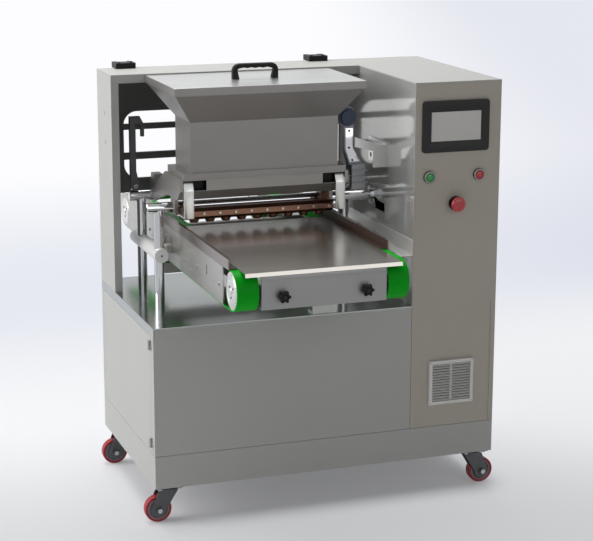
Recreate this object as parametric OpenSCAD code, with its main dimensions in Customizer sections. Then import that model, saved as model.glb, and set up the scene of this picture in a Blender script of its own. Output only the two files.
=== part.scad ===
// Cookie depositor: hopper and feed head over a belt conveyor, on a base cabinet with castors.
// Millimetres, +Z up, front towards -Y, floor at z = 0.

/* [Base cabinet] */
// Width of the machine over its base
base_w = 1000; // [960:5:1080]
// Depth of the base cabinet from front to back
base_d = 590; // [570:5:660]
// Height of the deck above the underside of the base
deck_h = 451; // [430:1:460]
// Height of the plinth pan
plinth_h = 92; // [70:1:110]
// Thickness of the folded sheets
sheet = 3; // [2:0.5:4]
// Thickness of the polished deck plate
deck_t = 4; // [3:0.5:6]
// Width of the front sheet that turns round beside the side door
front_return_w = 30; // [24:1:40]
// Width of the rear sheet that turns round beside the side door
rear_return_w = 20; // [16:1:30]
// Height of the deck skirt above the side door
deck_skirt_h = 26; // [18:1:40]
// Height of the upper door hinge above the underside
upper_hinge_h = 400; // [360:1:405]
// Height of the lower door hinge above the underside
lower_hinge_h = 125; // [115:1:160]
// Diameter of the door hinge knuckles
knuckle_d = 9; // [7:0.5:12]

/* [Castors] */
// Height of the base underside above the floor
castor_h = 107; // [104:1:115]
// Diameter of the castor wheels
wheel_d = 75; // [65:1:78]
// Width of the castor wheels
wheel_w = 24; // [18:1:28]
// Distance from the swivel axis to the wheel axle
castor_trail = 28; // [20:1:34]
// Distance of the wheel axles inside the base sides
castor_inset = 16; // [10:1:30]
// Distance of the castors from the base front and back
castor_edge = 45; // [42:1:70]
// Side of the square castor top plates
castor_plate_w = 75; // [60:1:82]

/* [Control cabinet] */
// Width of the control cabinet
cabinet_w = 256; // [240:1:280]
// Height of the machine top above the underside of the base
top_h = 1074; // [1070:1:1120]
// Width of the display bezel
display_w = 199; // [180:1:215]
// Height of the display bezel
display_h = 142; // [120:1:160]
// Width of the display screen
screen_w = 148; // [120:1:160]
// Height of the display screen
screen_h = 81; // [70:1:100]
// Distance of the display centre below the machine top
display_drop = 122; // [104:1:134]
// Distance of the push buttons below the machine top
button_drop = 261; // [244:1:274]
// Diameter of the push button caps
button_d = 24; // [20:1:28]
// Distance of the stop button below the machine top
stop_drop = 338; // [329:1:374]
// Diameter of the mushroom stop button
stop_d = 42; // [36:1:48]
// Width of the vent grille
vent_w = 135; // [110:1:150]
// Height of the vent grille
vent_h = 128; // [100:1:150]
// Height of the vent centre above the underside
vent_up = 222; // [200:1:260]
// Number of vent louvres
louvre_count = 14; // [8:1:16]

/* [Gantry] */
// Depth of the column and beam behind the working bay
gantry_d = 169; // [150:1:200]
// Width of the column flanges
column_flange = 22; // [16:1:28]
// Height of the beam flanges
beam_flange = 24; // [18:1:30]
// Height of the rear guard
guard_h = 358; // [330:1:364]
// Distance of the guard's upper edge below the machine top
guard_drop = 10; // [8:1:24]
// Corner radius of the guard window
window_r = 40; // [20:1:45]

/* [Hopper and head] */
// Gap between the hopper rim and the gantry behind it
hopper_gap = 9; // [6:1:14]
// Width of the hopper throat
throat_w = 427; // [400:1:440]
// Depth of the hopper throat
throat_d = 151; // [148:1:156]
// Width of the hopper rim
rim_w = 539; // [500:1:550]
// Depth of the flare in front of the throat
flare_front = 58; // [40:1:64]
// Depth of the flare behind the throat
flare_rear = 86; // [60:1:88]
// Thickness of the hopper walls
hopper_t = 2; // [1.5:0.5:3]
// Height of the hopper rim top above the underside
rim_h = 1067; // [1060:1:1069]
// Height of the straight rim
rim_band = 19; // [14:1:24]
// Height where the flare meets the throat
flare_h = 970; // [950:1:980]
// Width of the feed head housing
head_w = 470; // [460:1:474]
// Height of the underside of the head housing
head_low_h = 752; // [750:1:754]
// Height of the top of the head housing
head_high_h = 813; // [811:1:815]
// Diameter of the feed rollers
roller_d = 44; // [40:1:46]
// Number of teeth on each roller gear
gear_teeth = 16; // [14:2:18]
// Module of the roller gears
gear_module = 3; // [2.9:0.05:3.05]
// Number of nozzles
nozzle_count = 9; // [6:1:9]
// Distance between nozzles
nozzle_pitch = 46; // [40:1:48]
// Width of the lid handle
handle_w = 134; // [110:1:150]
// Height of the lid handle
handle_h = 43; // [36:1:50]

/* [Guide shafts and posts] */
// Diameter of the two cross shafts
shaft_d = 30; // [26:1:31]
// Height of the cross shafts above the underside
shaft_h = 717; // [716:1:719]
// Distance of the front cross shaft behind the hopper front
shaft_front = 115; // [114:1:119]
// Distance between the two cross shafts
shaft_pitch = 190; // [170:1:196]
// Distance of the shaft ends left of the bay centre
shaft_reach = 311; // [305:1:320]
// Diameter of the guide posts
post_d = 28; // [24:1:30]
// Distance of the posts from the bay centre
post_half = 275; // [274:1:277]

/* [Conveyor] */
// Width over the conveyor side plates
conveyor_w = 476; // [470:1:480]
// Height of the conveyor side plates
plate_h = 100; // [90:1:104]
// Thickness of the conveyor side plates
plate_t = 4; // [3:0.5:5]
// Height of the pulley axes above the underside
pulley_h = 603; // [600:1:604]
// Diameter of the belt pulleys
pulley_d = 99; // [90:1:100]
// Thickness of the belts
belt_t = 3; // [2:0.5:3.5]
// Width of the belts
belt_w = 58; // [50:1:60]
// Distance of the front pulley axis ahead of the base front
front_pulley_ahead = 250; // [230:1:260]
// Distance of the rear pulley axis behind the base front
rear_pulley_back = 826; // [800:1:850]
// Height of the tray guides over the side plates
guide_h = 27; // [20:1:28]
// Diameter of the lift bars
lift_bar_d = 40; // [38:1:42]
// Diameter of the star knobs
knob_d = 34; // [30:1:40]

/* [Tray] */
// Width of the tray
tray_w = 425; // [400:1:440]
// Length of the tray
tray_l = 600; // [560:5:620]
// Thickness of the tray sheet
tray_t = 2; // [1:0.5:3]
// Drop of the tray front lip
tray_lip = 10; // [8:1:16]

/* [Hidden] */
$fn = 48;
// Radial running clearance of shafts in bores
fit = 0.05;
// Gap between parts that move past each other
clear = 1;
// Gap shown at panel seams
seam = 1;
// Overrun of every cut
over = 1;

left = -base_w / 2;
right = base_w / 2;
front = -base_d / 2;
back = base_d / 2;
wall_x = right - cabinet_w;
bay_x = (left + wall_x) / 2;
plinth_z = castor_h + plinth_h;
deck_z = castor_h + deck_h;
top_z = castor_h + top_h;

// Castor details
castor_x = right - castor_inset - castor_trail;
castor_y = back - castor_edge;
castor_plate_t = 4;
race_d = 44;
race_h = 5;
kingpin_d = 12;
kingpin_nut_d = 20;
kingpin_nut_h = 4;
crown_d = 54;
crown_h = 9;
fork_t = 4;
fork_gap = 2;
fork_top_share = 0.5;
fork_boss_d = 42;
axle_d = 10;
axle_head_d = 17;
axle_head_h = 4;
hub_d = 26;
rim_d = 54;
web_t = 12;
tread_edge = 4;
crown_top = castor_h - castor_plate_t - race_h - clear;
crown_low = crown_top - crown_h;
fork_in = wheel_w / 2 + fork_gap;

// Door hinge details
hinge_h = 26;
hinge_leaf_w = 14;
hinge_leaf_t = 1.5;
hinge_pin_d = 4;
hinge_x = left - knuckle_d / 2;
hinge_y = front + front_return_w + seam / 2;
door_low = plinth_z + seam;
door_high = deck_z - deck_skirt_h - seam;

// Control panel details
display_in = 119.5;
display_x = wall_x + display_in;
display_z = top_z - display_drop;
button_z = top_z - button_drop;
stop_z = top_z - stop_drop;
vent_z = castor_h + vent_up;
display_r = 9;
display_proud = 7;
display_body_d = 32;
display_body_inset = 8;
screen_sink = 1.5;
screen_t = 3;
green_in = 44;
red_in = 193;
green_x = wall_x + green_in;
red_x = wall_x + red_in;
button_barrel_d = 28;
button_collar_d = 34;
button_collar_h = 5;
button_proud = 9;
button_edge = 1.5;
button_tail = 24;
stop_in = 124;
stop_x = wall_x + stop_in;
stop_stem_d = 20;
stop_collar_d = 40;
stop_collar_h = 8;
stop_cap_h = 15;
stop_gap = 8;
vent_in = 121.5;
vent_x = wall_x + vent_in;
vent_rim = 9;
vent_depth = 8;
vent_rib_w = 6;
louvre_t = 1.5;
louvre_tilt = 35;
lower_strip_w = 15;
cable_slot_back = 249;
cable_slot_h = 689;
cable_slot_w = 74;
cable_slot_tall = 26;

// Gantry details
gantry_y = back - gantry_d;
slot_w = 4;
slot_h = 12;
upper_slot_drop = 117;
lower_slot_drop = 200;
slot_ahead = 88;
guard_y = back + seam;
guard_inset = 10;
guard_left = left + guard_inset;
guard_right = wall_x - seam;
window_inset = 76;
window_left = left + window_inset;
window_right = wall_x - window_inset;
guard_high = top_z - guard_drop;
guard_low = guard_high - guard_h;
window_sill = 43;
window_head = 119;
window_low = guard_low + window_sill;
window_high = guard_high - window_head;
low_bar_share = 0.2755;
low_bar_w = 21;
high_bar_share = 0.7245;
high_bar_w = 18;
guard_bar_t = 5;
guard_bar_over = 40;
guard_hinge_w = 58;
guard_hinge_d = 16;
guard_hinge_foot = 34;
guard_pin_d = 6;
guard_hinge_in = 78;
guard_hinge_left = left + guard_hinge_in;
guard_hinge_right = wall_x - guard_hinge_in;
guard_axis_y = guard_y + sheet + guard_hinge_d / 2;
guard_axis_z = top_z + guard_hinge_d / 2;
guard_leaf_drop = 40;

// Hopper and head details
hopper_y = gantry_y - hopper_gap - flare_rear - throat_d;
head_y = hopper_y + throat_d / 2;
throat_low = castor_h + head_high_h;
flange_t = 17;
flange_out = 8;
rim_top = castor_h + rim_h;
rim_low = rim_top - rim_band;
flare_z = castor_h + flare_h;
head_low = castor_h + head_low_h;
head_high = castor_h + head_high_h;
head_chamfer = 28;
roller_pitch = gear_teeth * gear_module;
roller_up = 30;
roller_z = head_low + roller_up;
head_end_t = 8;
head_floor_t = 6;
roller_room = 1;
roller_shaft_d = 20;
flute_count = 12;
flute_d = 6;
inlet_w = 62;
outlet_w = 14;
pocket_w = 66;
pocket_h = 28;
pocket_drop = 4;
pocket_d = 18;
gear_t = 16;
gear_gap = 2;
pressure_angle = 20;
addendum_share = 0.92;
dedendum_share = 1.3;
flank_steps = 5;
backlash = 0.35;
carrier_t = 10;
carrier_boss_d = 40;
shaft_block_d = 42;
shaft_block_low = 20;
rear_block_in = 25;
rear_block_out = 1;
rear_block_d = 38;
rear_block_lift = 4;
rear_block_h = 63;
rear_block_taper = 6;
nozzle_inset = 13;
nozzle_bar_w = head_w - 2 * nozzle_inset;
nozzle_bar_d = 44;
nozzle_bar_low_h = 688;
nozzle_bar_h = 32;
nozzle_bar_bevel = 9;
neck_d = 24;
duct_d = 12;
duct_wall = 13;
gallery_w = 16;
gallery_h = 14;
nozzle_d = 32;
nozzle_tip_d = 22;
nozzle_l = 10;
hanger_w = 27;
hanger_t = 4;
hanger_in = 1;
hanger_lean = 12;
hanger_up = 17;
duct_inset = 22.5;
lid_t = 3;
lid_clear = 2;
lid_skirt = 17;
handle_d = 18;
handle_grip = 13;
handle_r = 18;
handle_leg = 14;
handle_in_r = 7;
gearbox_w = 40;
gearbox_d = 56;
gearbox_h = 70;
gearbox_rib = 5;
gearbox_rib_t = 3;
gearbox_rib_count = 3;
arm_w = 28;
arm_d = 24;
arm_shift = 18;
arm_rise = 46;
motor_up = 177;
motor_shift = 33;
motor_d = 48;
motor_l = 70;
motor_cap_d = 40;
motor_cap_h = 6;
clamp_d = 58;
clamp_w = 30;
motor_gap = 0.3;
wall_plate_w = 130;
wall_plate_h = 70;
wall_plate_t = 5;
wall_plate_hole_d = 14;
wall_plate_hole_in = 18;
elbow_t = 8;
elbow_up = 119;
elbow_h = 28;
elbow_fall = 28;
elbow_drop = 90;
elbow_leg = 38;

// Shaft and post details
shaft_z = castor_h + shaft_h;
shaft_y1 = hopper_y + shaft_front;
shaft_y2 = shaft_y1 + shaft_pitch;
shaft_chamfer = 2;
shaft_flange_d = 58;
shaft_flange_t = 12;
post_tail = 34;
nut_d = 46;
nut_h = 16;

// Hook lever details: the lever turns on a pin in a lug on the rear shaft
lever_t = 14;
lever_in = 18;
lever_foot_d = 26;
lever_stem_w = 17;
lever_stem_in = 3;
lever_gusset_h = 44;
lever_h = 201;
lever_brow = 13;
lever_brow_drop = 24;
lever_hook_reach = 25;
lever_hook_w = 9;
lever_hook_drop = 58;
lever_palate = 20;
lever_pin_d = 8;
lever_pin_head_d = 13;
lever_pin_head_h = 3;
lug_t = 7;
lug_round_d = 20;
lever_x = bay_x - shaft_reach + lever_in;
lever_z = shaft_z + shaft_d / 2 + clear + lever_foot_d / 2;
lever_y1 = shaft_y2 - lever_t / 2;
lever_y2 = shaft_y2 + lever_t / 2;

// Conveyor details
front_pulley_y = front - front_pulley_ahead;
rear_pulley_y = front + rear_pulley_back;
pulley_z = castor_h + pulley_h;
belt_gap = 0.4;
belt_in_r = pulley_d / 2 + belt_gap;
belt_out_r = belt_in_r + belt_t;
belt_top = pulley_z + belt_out_r;
belt_low = pulley_z - belt_out_r;
plate_half = conveyor_w / 2;
plate_low = pulley_z + belt_out_r - plate_h;
plate_front_y = front_pulley_y + belt_out_r + clear;
plate_rear_y = rear_pulley_y + belt_out_r + clear;
plate_r = 50;
plate_slot_w = 6;
plate_slot_h = 28;
plate_slot_up = 60;
plate_slot_ahead = 52;
plate_slot_back = 298;
plate_slot_front = front - plate_slot_ahead;
plate_slot_rear = front + plate_slot_back;
belt_edge = 1;
belt_out = plate_half - plate_t - belt_edge;
belt_in = belt_out - belt_w;
pulley_edge = 2;
pulley_shaft_d = 20;
pulley_face_sink = 3;
pulley_face_d = 80;
dot_d = 5;
dot_pcd = 22;
arm_gap = 6;
arm_out = belt_in - arm_gap;
arm_t = 4;
arm_h = 60;
arm_l = 150;
front_plate_t = 4;
front_plate_h = 74;
front_plate_drop = 43;
front_plate_low = pulley_z - front_plate_drop;
front_plate_y = front_pulley_y - belt_out_r + front_plate_t;
cross_d = 25;
cross_shares = [0.22, 0.45, 0.68];
slide_t = 4;
slide_inset = 5;
slide_lap = 8;
guide_t = 4;
guide_fold = 9;
guide_ahead_left = 243;
guide_ahead_right = 150;
guide_back = 740;
guide_front_left = front - guide_ahead_left;
guide_front_right = front - guide_ahead_right;
guide_rear = front + guide_back;
lift_bar_h = 585;
lift_bar_start = 28;
lift_bar_end = 65;
lift_bar_front = shaft_y1 - lift_bar_start;
lift_bar_rear = shaft_y2 + lift_bar_end;
lift_bar_dimple_d = 6;
lift_bar_dimple_l = 4;
lug_h = 24;
lug_w = 26;
lug_gap = 6;
lift_y = (shaft_y1 + shaft_y2) / 2;
beam_tall = 30;
beam_drop = 12;
beam_end_t = 6;
beam_end_h = 60;
rod_d = 25;
rod_below = 180;
actuator_d = 70;
actuator_l = 250;
actuator_floor = 20;
actuator_flange_d = 96;
actuator_flange_t = 8;
drive_w = 60;
drive_d = 90;
drive_h = 90;
drive_motor_d = 60;
drive_motor_l = 120;
drive_stub = 30;
knob_half = 112.5;
knob_drop = 9;
knob_z = pulley_z - knob_drop;
knob_t = 16;
knob_lobes = 6;
knob_lobe_d = 11;
knob_hub_d = 16;
knob_hub_h = 6;
stud_d = 8;
stud_l = 16;
shelf_w = 54;
shelf_h = 598;
shelf_up = 41;
shelf_back = 485;
stop_bracket_w = 68;
stop_bracket_off = 80;
stop_bracket_x = bay_x + stop_bracket_off;
stop_bracket_t = 6;
stop_bracket_h = 62;
stop_bracket_foot = 44;
stop_bracket_back = 3;

// Tray place: the lip hangs just ahead of the belt fronts
lip_slope_share = 0.25;
tray_gap = 0.2;
lip_run = tray_lip * lip_slope_share;
tray_front = front_pulley_y - belt_out_r - clear - lip_run;
tray_low = belt_top + tray_gap;

// The reach in front and behind sets the origin at the middle of the floor plan
reach_front = -(front_plate_y - front_plate_t - knob_hub_h - knob_t);
reach_rear = plate_rear_y;
origin_y = (reach_front - reach_rear) / 2;

// Shapes shared by several pieces

// Box between two opposite corners
module span(low, high) {
  translate(low) cube(high - low);
}

// Round bar along X
module bar_x(x_low, x_high, y, z, d) {
  translate([x_low, y, z]) rotate([0, 90, 0]) cylinder(d = d, h = x_high - x_low);
}

// Round bar along Y
module bar_y(y_low, y_high, x, z, d) {
  translate([x, y_low, z]) rotate([-90, 0, 0]) cylinder(d = d, h = y_high - y_low);
}

// Round bar along Z
module bar_z(z_low, z_high, x, y, d) {
  translate([x, y, z_low]) cylinder(d = d, h = z_high - z_low);
}

// Outline drawn in Y and Z, extruded along X
module along_x(x_low, x_high) {
  translate([x_low, 0, 0]) rotate([90, 0, 90]) linear_extrude(x_high - x_low) children();
}

// Outline drawn in X and Z, extruded along Y
module along_y(y_low, y_high) {
  translate([0, y_high, 0]) rotate([90, 0, 0]) linear_extrude(y_high - y_low) children();
}

// Rectangle with round corners, centred
module round_rect(w, h, r) {
  square([w - 2 * r, h], center = true);
  square([w, h - 2 * r], center = true);
  for (sx = [-1, 1], sy = [-1, 1])
    translate([sx * (w / 2 - r), sy * (h / 2 - r)]) circle(r);
}

// Children mirrored to both sides of the bay centre
module both_sides() {
  translate([bay_x, 0, 0]) children();
  translate([bay_x, 0, 0]) mirror([1, 0, 0]) children();
}

// Base cabinet

module base_pan() color("#9c9c98") difference() {
  span([left, front, castor_h], [right, back, plinth_z]);
  span([left + sheet, front + sheet, castor_h + sheet], [right - sheet, back - sheet, plinth_z + over]);
}

module front_panel() color("#8a8a86") {
  difference() {
    span([left, front, plinth_z + seam], [wall_x - seam, front + front_return_w, deck_z - deck_t]);
    span([left + sheet, front + sheet, plinth_z], [wall_x, front + front_return_w + over, deck_z]);
    span([left - over, front - over, deck_z - deck_skirt_h],
      [left + sheet + over, front + front_return_w + over, deck_z]);
  }
  for (up = [lower_hinge_h, upper_hinge_h]) door_knuckle(castor_h + up - hinge_h / 2, -1, true);
}

module rear_panel() color("#8a8a86") difference() {
  span([left, back - rear_return_w, plinth_z + seam], [wall_x - seam, back, deck_z - deck_t]);
  span([left + sheet, back - rear_return_w - over, plinth_z], [wall_x, back - sheet, deck_z]);
  span([left - over, back - rear_return_w - over, deck_z - deck_skirt_h],
    [left + sheet + over, back + over, deck_z]);
}

module deck_plate() color("#6f7672") difference() {
  union() {
    span([left, front, deck_z - deck_t], [wall_x, back, deck_z]);
    span([left, front, deck_z - deck_skirt_h], [left + sheet, back, deck_z]);
  }
  both_sides() for (y = [shaft_y1, shaft_y2])
    bar_z(deck_z - deck_t - over, deck_z + over, post_half, y, post_d + 2 * fit);
  bar_z(deck_z - deck_t - over, deck_z + over, bay_x, lift_y, rod_d + 2 * clear);
}

// One half of a door hinge; side is -1 for the leaf towards the front, 1 for the door leaf
module door_knuckle(z_low, side, with_pin) {
  z_high = z_low + hinge_h / 2 - fit;
  translate([hinge_x, hinge_y, z_low]) difference() {
    union() {
      cylinder(d = knuckle_d, h = z_high - z_low);
      translate([knuckle_d / 2 - hinge_leaf_t, side < 0 ? -hinge_leaf_w : 0, 0])
        cube([hinge_leaf_t + sheet / 2, hinge_leaf_w, z_high - z_low]);
    }
    if (!with_pin) translate([0, 0, -over])
      cylinder(d = hinge_pin_d + 2 * fit, h = z_high - z_low + 2 * over);
  }
  if (with_pin) translate([hinge_x, hinge_y, z_low]) cylinder(d = hinge_pin_d, h = hinge_h);
}

module side_door() color("#c8c8c6") {
  span([left, hinge_y + seam / 2, door_low], [left + sheet, back - rear_return_w - seam, door_high]);
  for (up = [lower_hinge_h, upper_hinge_h]) door_knuckle(castor_h + up, 1, false);
}

// Castors

module castor_at(sx, sy) {
  translate([sx * castor_x, sy * castor_y, 0]) mirror([sx < 0 ? 1 : 0, 0, 0]) children();
}

module castor_plates() color("#3c3c3e") for (sx = [-1, 1], sy = [-1, 1]) castor_at(sx, sy) {
  plate_low_z = castor_h - castor_plate_t;
  translate([-castor_plate_w / 2, -castor_plate_w / 2, plate_low_z])
    cube([castor_plate_w, castor_plate_w, castor_plate_t]);
  bar_z(plate_low_z - race_h, castor_h - castor_plate_t / 2, 0, 0, race_d);
  bar_z(crown_low - clear - kingpin_nut_h, castor_h - castor_plate_t / 2, 0, 0, kingpin_d);
  bar_z(crown_low - clear - kingpin_nut_h, crown_low - clear, 0, 0, kingpin_nut_d);
}

module castor_fork(sx, sy) color("#3c3c3e") castor_at(sx, sy) {
  difference() {
    bar_z(crown_low, crown_top, 0, 0, crown_d);
    bar_z(crown_low - over, crown_top + over, 0, 0, kingpin_d + 2 * fit);
  }
  for (side = [-1, 1])
    along_y(side < 0 ? -fork_in - fork_t : fork_in, side < 0 ? -fork_in : fork_in + fork_t) fork_leg();
  bar_y(-fork_in - fork_t, fork_in + fork_t, castor_trail, wheel_d / 2, axle_d);
  for (side = [-1, 1]) translate([castor_trail, side * (fork_in + fork_t + axle_head_h / 2), wheel_d / 2])
    rotate([90, 0, 0]) cylinder(d = axle_head_d, h = axle_head_h, center = true, $fn = 6);
}

// Broad leg that narrows from the crown to a round end over the axle
module fork_leg() {
  top = crown_low + crown_h / 2;
  polygon([[-crown_d * fork_top_share, top], [crown_d * fork_top_share, top],
    [castor_trail + fork_boss_d / 2, wheel_d / 2], [castor_trail - fork_boss_d / 2, wheel_d / 2]]);
  translate([castor_trail, wheel_d / 2]) circle(d = fork_boss_d);
}

module castor_wheel(sx, sy) color("#c01f22") castor_at(sx, sy)
  translate([castor_trail, 0, wheel_d / 2]) rotate([90, 0, 0]) rotate_extrude($fn = 64)
    polygon(concat(
      [for (s = [1, -1]) [axle_d / 2 + fit, s * wheel_w / 2]],
      wheel_side(-1),
      [for (i = [6:-1:0]) wheel_side(1)[i]]));

// Half of the wheel's turned outline, from hub to tread
function wheel_side(s) = [
  [hub_d / 2, s * wheel_w / 2],
  [hub_d / 2, s * web_t / 2],
  [rim_d / 2, s * web_t / 2],
  [rim_d / 2, s * (wheel_w - tread_edge) / 2],
  [wheel_d / 2 - tread_edge, s * wheel_w / 2],
  [wheel_d / 2 - tread_edge / 4, s * (wheel_w / 2 - tread_edge / 2)],
  [wheel_d / 2, s * (wheel_w / 2 - tread_edge)]];

// Control cabinet

module cabinet_inner_wall() color("#8f8f8c") difference() {
  span([wall_x, front + sheet, plinth_z + seam], [wall_x + sheet, back, top_z - sheet]);
  translate([wall_x, front + cable_slot_back, castor_h + cable_slot_h])
    cube([4 * sheet, cable_slot_w, cable_slot_tall], center = true);
}

module cabinet_outer_wall() color("#c2c2c0") {
  span([right - sheet, front + sheet, plinth_z + seam], [right, back, top_z - sheet]);
  span([right - lower_strip_w, front + sheet + seam, plinth_z + seam],
    [right, front + 2 * sheet + seam, top_z - sheet]);
}

module cabinet_back() color("#8a8a86")
  span([wall_x + sheet, back - sheet, plinth_z + seam], [right - sheet, back, top_z - sheet]);

module cabinet_top() color("#d4d4d2")
  span([wall_x, front, top_z - sheet], [right, back, top_z]);

module cabinet_front() color("#82827d") difference() {
  span([wall_x, front, plinth_z + seam], [right, front + sheet, top_z - sheet]);
  span([right - lower_strip_w, front - over, plinth_z],
    [right - lower_strip_w + seam, front + sheet / 2, deck_z]);
  panel_hole(display_x, display_z)
    square([display_w - 2 * display_body_inset, display_h - 2 * display_body_inset], center = true);
  for (x = [green_x, red_x]) panel_hole(x, button_z) circle(d = button_barrel_d + 2 * fit);
  panel_hole(stop_x, stop_z) circle(d = stop_stem_d + 2 * sheet + 2 * fit);
  panel_hole(vent_x, vent_z) square([vent_w - 2 * vent_rim, vent_h - 2 * vent_rim], center = true);
}

// Outline centred on the cabinet front, cut through it
module panel_hole(x, z) {
  along_y(front - over, front + sheet + over) translate([x, z]) children();
}

module vent_grille() color("#c9c9c7") {
  inner_w = vent_w - 2 * vent_rim;
  inner_h = vent_h - 2 * vent_rim;
  along_y(front - vent_depth, front) translate([vent_x, vent_z]) difference() {
    square([vent_w, vent_h], center = true);
    square([inner_w, inner_h], center = true);
  }
  pitch = inner_h / louvre_count;
  for (i = [0:louvre_count - 1])
    translate([vent_x, front - vent_depth / 2, vent_z + (i + 0.5) * pitch - inner_h / 2])
      rotate([louvre_tilt, 0, 0]) cube([inner_w + louvre_t, vent_depth - louvre_t, louvre_t], center = true);
  along_y(front - vent_depth / 2, front) translate([vent_x, vent_z])
    square([vent_rib_w, inner_h], center = true);
}

module display_bezel() color("#2c2a2b") difference() {
  union() {
    along_y(front - display_proud, front) translate([display_x, display_z])
      round_rect(display_w, display_h, display_r);
    along_y(front - seam, front + display_body_d) translate([display_x, display_z])
      square([display_w - 2 * display_body_inset - seam, display_h - 2 * display_body_inset - seam],
        center = true);
  }
  along_y(front - display_proud - over, front - display_proud + screen_sink + screen_t)
    translate([display_x, display_z]) square([screen_w, screen_h], center = true);
}

module display_screen() color("#8f8d8b")
  along_y(front - display_proud + screen_sink, front - display_proud + screen_sink + screen_t)
    translate([display_x, display_z]) square([screen_w, screen_h], center = true);

module button_collars() color("#2b2b2c") {
  for (x = [green_x, red_x]) difference() {
    union() {
      bar_y(front - button_collar_h, front, x, button_z, button_collar_d);
      bar_y(front - button_collar_h, front + button_tail, x, button_z, button_barrel_d);
    }
    bar_y(front - button_collar_h - over, front + button_tail + over, x, button_z, button_d + 2 * fit);
  }
  difference() {
    union() {
      bar_y(front - stop_collar_h, front, stop_x, stop_z, stop_collar_d);
      bar_y(front - stop_collar_h, front + button_tail, stop_x, stop_z, stop_stem_d + 2 * sheet);
    }
    bar_y(front - stop_collar_h - over, front + button_tail + over, stop_x, stop_z,
      stop_stem_d + 2 * fit);
  }
}

module push_button(x) {
  bar_y(front - button_proud, front + button_tail, x, button_z, button_d - 2 * button_edge);
  bar_y(front - button_proud + button_edge, front + button_tail, x, button_z, button_d);
  translate([x, front - button_proud, button_z]) rotate([-90, 0, 0])
    cylinder(d1 = button_d - 2 * button_edge, d2 = button_d, h = button_edge);
}

module green_button() color("#1f9e3a") push_button(green_x);

module red_button() color("#c4252a") push_button(red_x);

module stop_button() color("#c4252a")
  translate([stop_x, front - stop_collar_h - stop_gap, stop_z]) {
  rotate([90, 0, 0]) rotate_extrude() polygon(concat([[0, 0], [stop_d / 2, 0]],
    [for (a = [0:15:90]) [stop_d / 2 - stop_cap_h / 2 + stop_cap_h / 2 * cos(a),
      stop_cap_h / 2 + stop_cap_h / 2 * sin(a)]], [[0, stop_cap_h]]));
  bar_y(-stop_cap_h / 2, stop_gap + stop_collar_h + button_tail, 0, 0, stop_stem_d);
}

// Gantry

module left_column() color("#bdbdba") difference() {
  union() {
    span([left, gantry_y, deck_z], [left + sheet, back, top_z - sheet]);
    span([left, gantry_y, deck_z], [left + column_flange, gantry_y + sheet, top_z - beam_flange]);
    span([left, back - sheet, deck_z], [left + column_flange, back, top_z - beam_flange]);
  }
  for (drop = [lower_slot_drop, upper_slot_drop]) translate([left, back - slot_ahead, top_z - drop])
    cube([4 * sheet, slot_w, slot_h], center = true);
}

module gantry_beam() color("#cfcfcd") {
  span([left, gantry_y, top_z - sheet], [wall_x, back, top_z]);
  for (y = [gantry_y, back - sheet])
    span([left + sheet, y, top_z - beam_flange], [wall_x, y + sheet, top_z - sheet / 2]);
}

module guard_hinges() color("#1c1c1d") for (x = [guard_hinge_left, guard_hinge_right]) {
  span([x - guard_hinge_w / 2, back - guard_hinge_foot, top_z],
    [x + guard_hinge_w / 2, guard_axis_y - guard_hinge_d / 2 - clear, top_z + guard_hinge_d]);
  for (s = [-1, 1]) {
    cheek_x = x + (s < 0 ? -guard_hinge_w / 2 : guard_hinge_w / 4);
    span([cheek_x, guard_axis_y - guard_hinge_d / 2 - 2 * clear, top_z],
      [cheek_x + guard_hinge_w / 4, guard_axis_y + guard_hinge_d / 2, top_z + guard_hinge_d]);
  }
  bar_x(x - guard_hinge_w / 2, x + guard_hinge_w / 2, guard_axis_y, guard_axis_z, guard_pin_d);
}

module rear_guard() color("#5c5c5b") {
  difference() {
    span([guard_left, guard_y, guard_low], [guard_right, guard_y + sheet, guard_high]);
    along_y(guard_y - over, guard_y + sheet + over)
      translate([(window_left + window_right) / 2, (window_low + window_high) / 2])
        round_rect(window_right - window_left, window_high - window_low, window_r);
  }
  guard_bar(low_bar_share, low_bar_w);
  guard_bar(high_bar_share, high_bar_w);
  leaf_half = guard_hinge_w / 4 - clear;
  leaf_low = guard_high - guard_leaf_drop;
  for (x = [guard_hinge_left, guard_hinge_right]) difference() {
    union() {
      bar_x(x - leaf_half, x + leaf_half, guard_axis_y, guard_axis_z, guard_hinge_d);
      span([x - leaf_half, guard_y + sheet / 2, leaf_low], [x + leaf_half, guard_y + 2 * sheet, guard_high]);
      span([x - leaf_half, guard_y + sheet, leaf_low], [x + leaf_half, guard_axis_y, guard_axis_z]);
    }
    bar_x(x - guard_hinge_w, x + guard_hinge_w, guard_axis_y, guard_axis_z, guard_pin_d + 2 * fit);
  }
}

// Bar across the guard window, at a share of the window's height
module guard_bar(share, w) {
  low = window_low + (window_high - window_low) * share;
  span([window_left - guard_bar_over, guard_y + sheet / 2, low],
    [window_right + guard_bar_over, guard_y + sheet + guard_bar_t, low + w]);
}

// Guide posts and cross shafts

module guide_posts() color("#d9d9da") both_sides() for (y = [shaft_y1, shaft_y2]) {
  difference() {
    bar_z(deck_z - deck_t - post_tail, shaft_z, post_half, y, post_d);
    bar_x(post_half - post_d, post_half + post_d, y, shaft_z, shaft_d + 2 * fit);
  }
  difference() {
    translate([post_half, y, deck_z - deck_t - nut_h]) cylinder(d = nut_d, h = nut_h, $fn = 6);
    bar_z(deck_z - deck_t - nut_h - over, deck_z, post_half, y, post_d + 2 * fit);
  }
}

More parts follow.
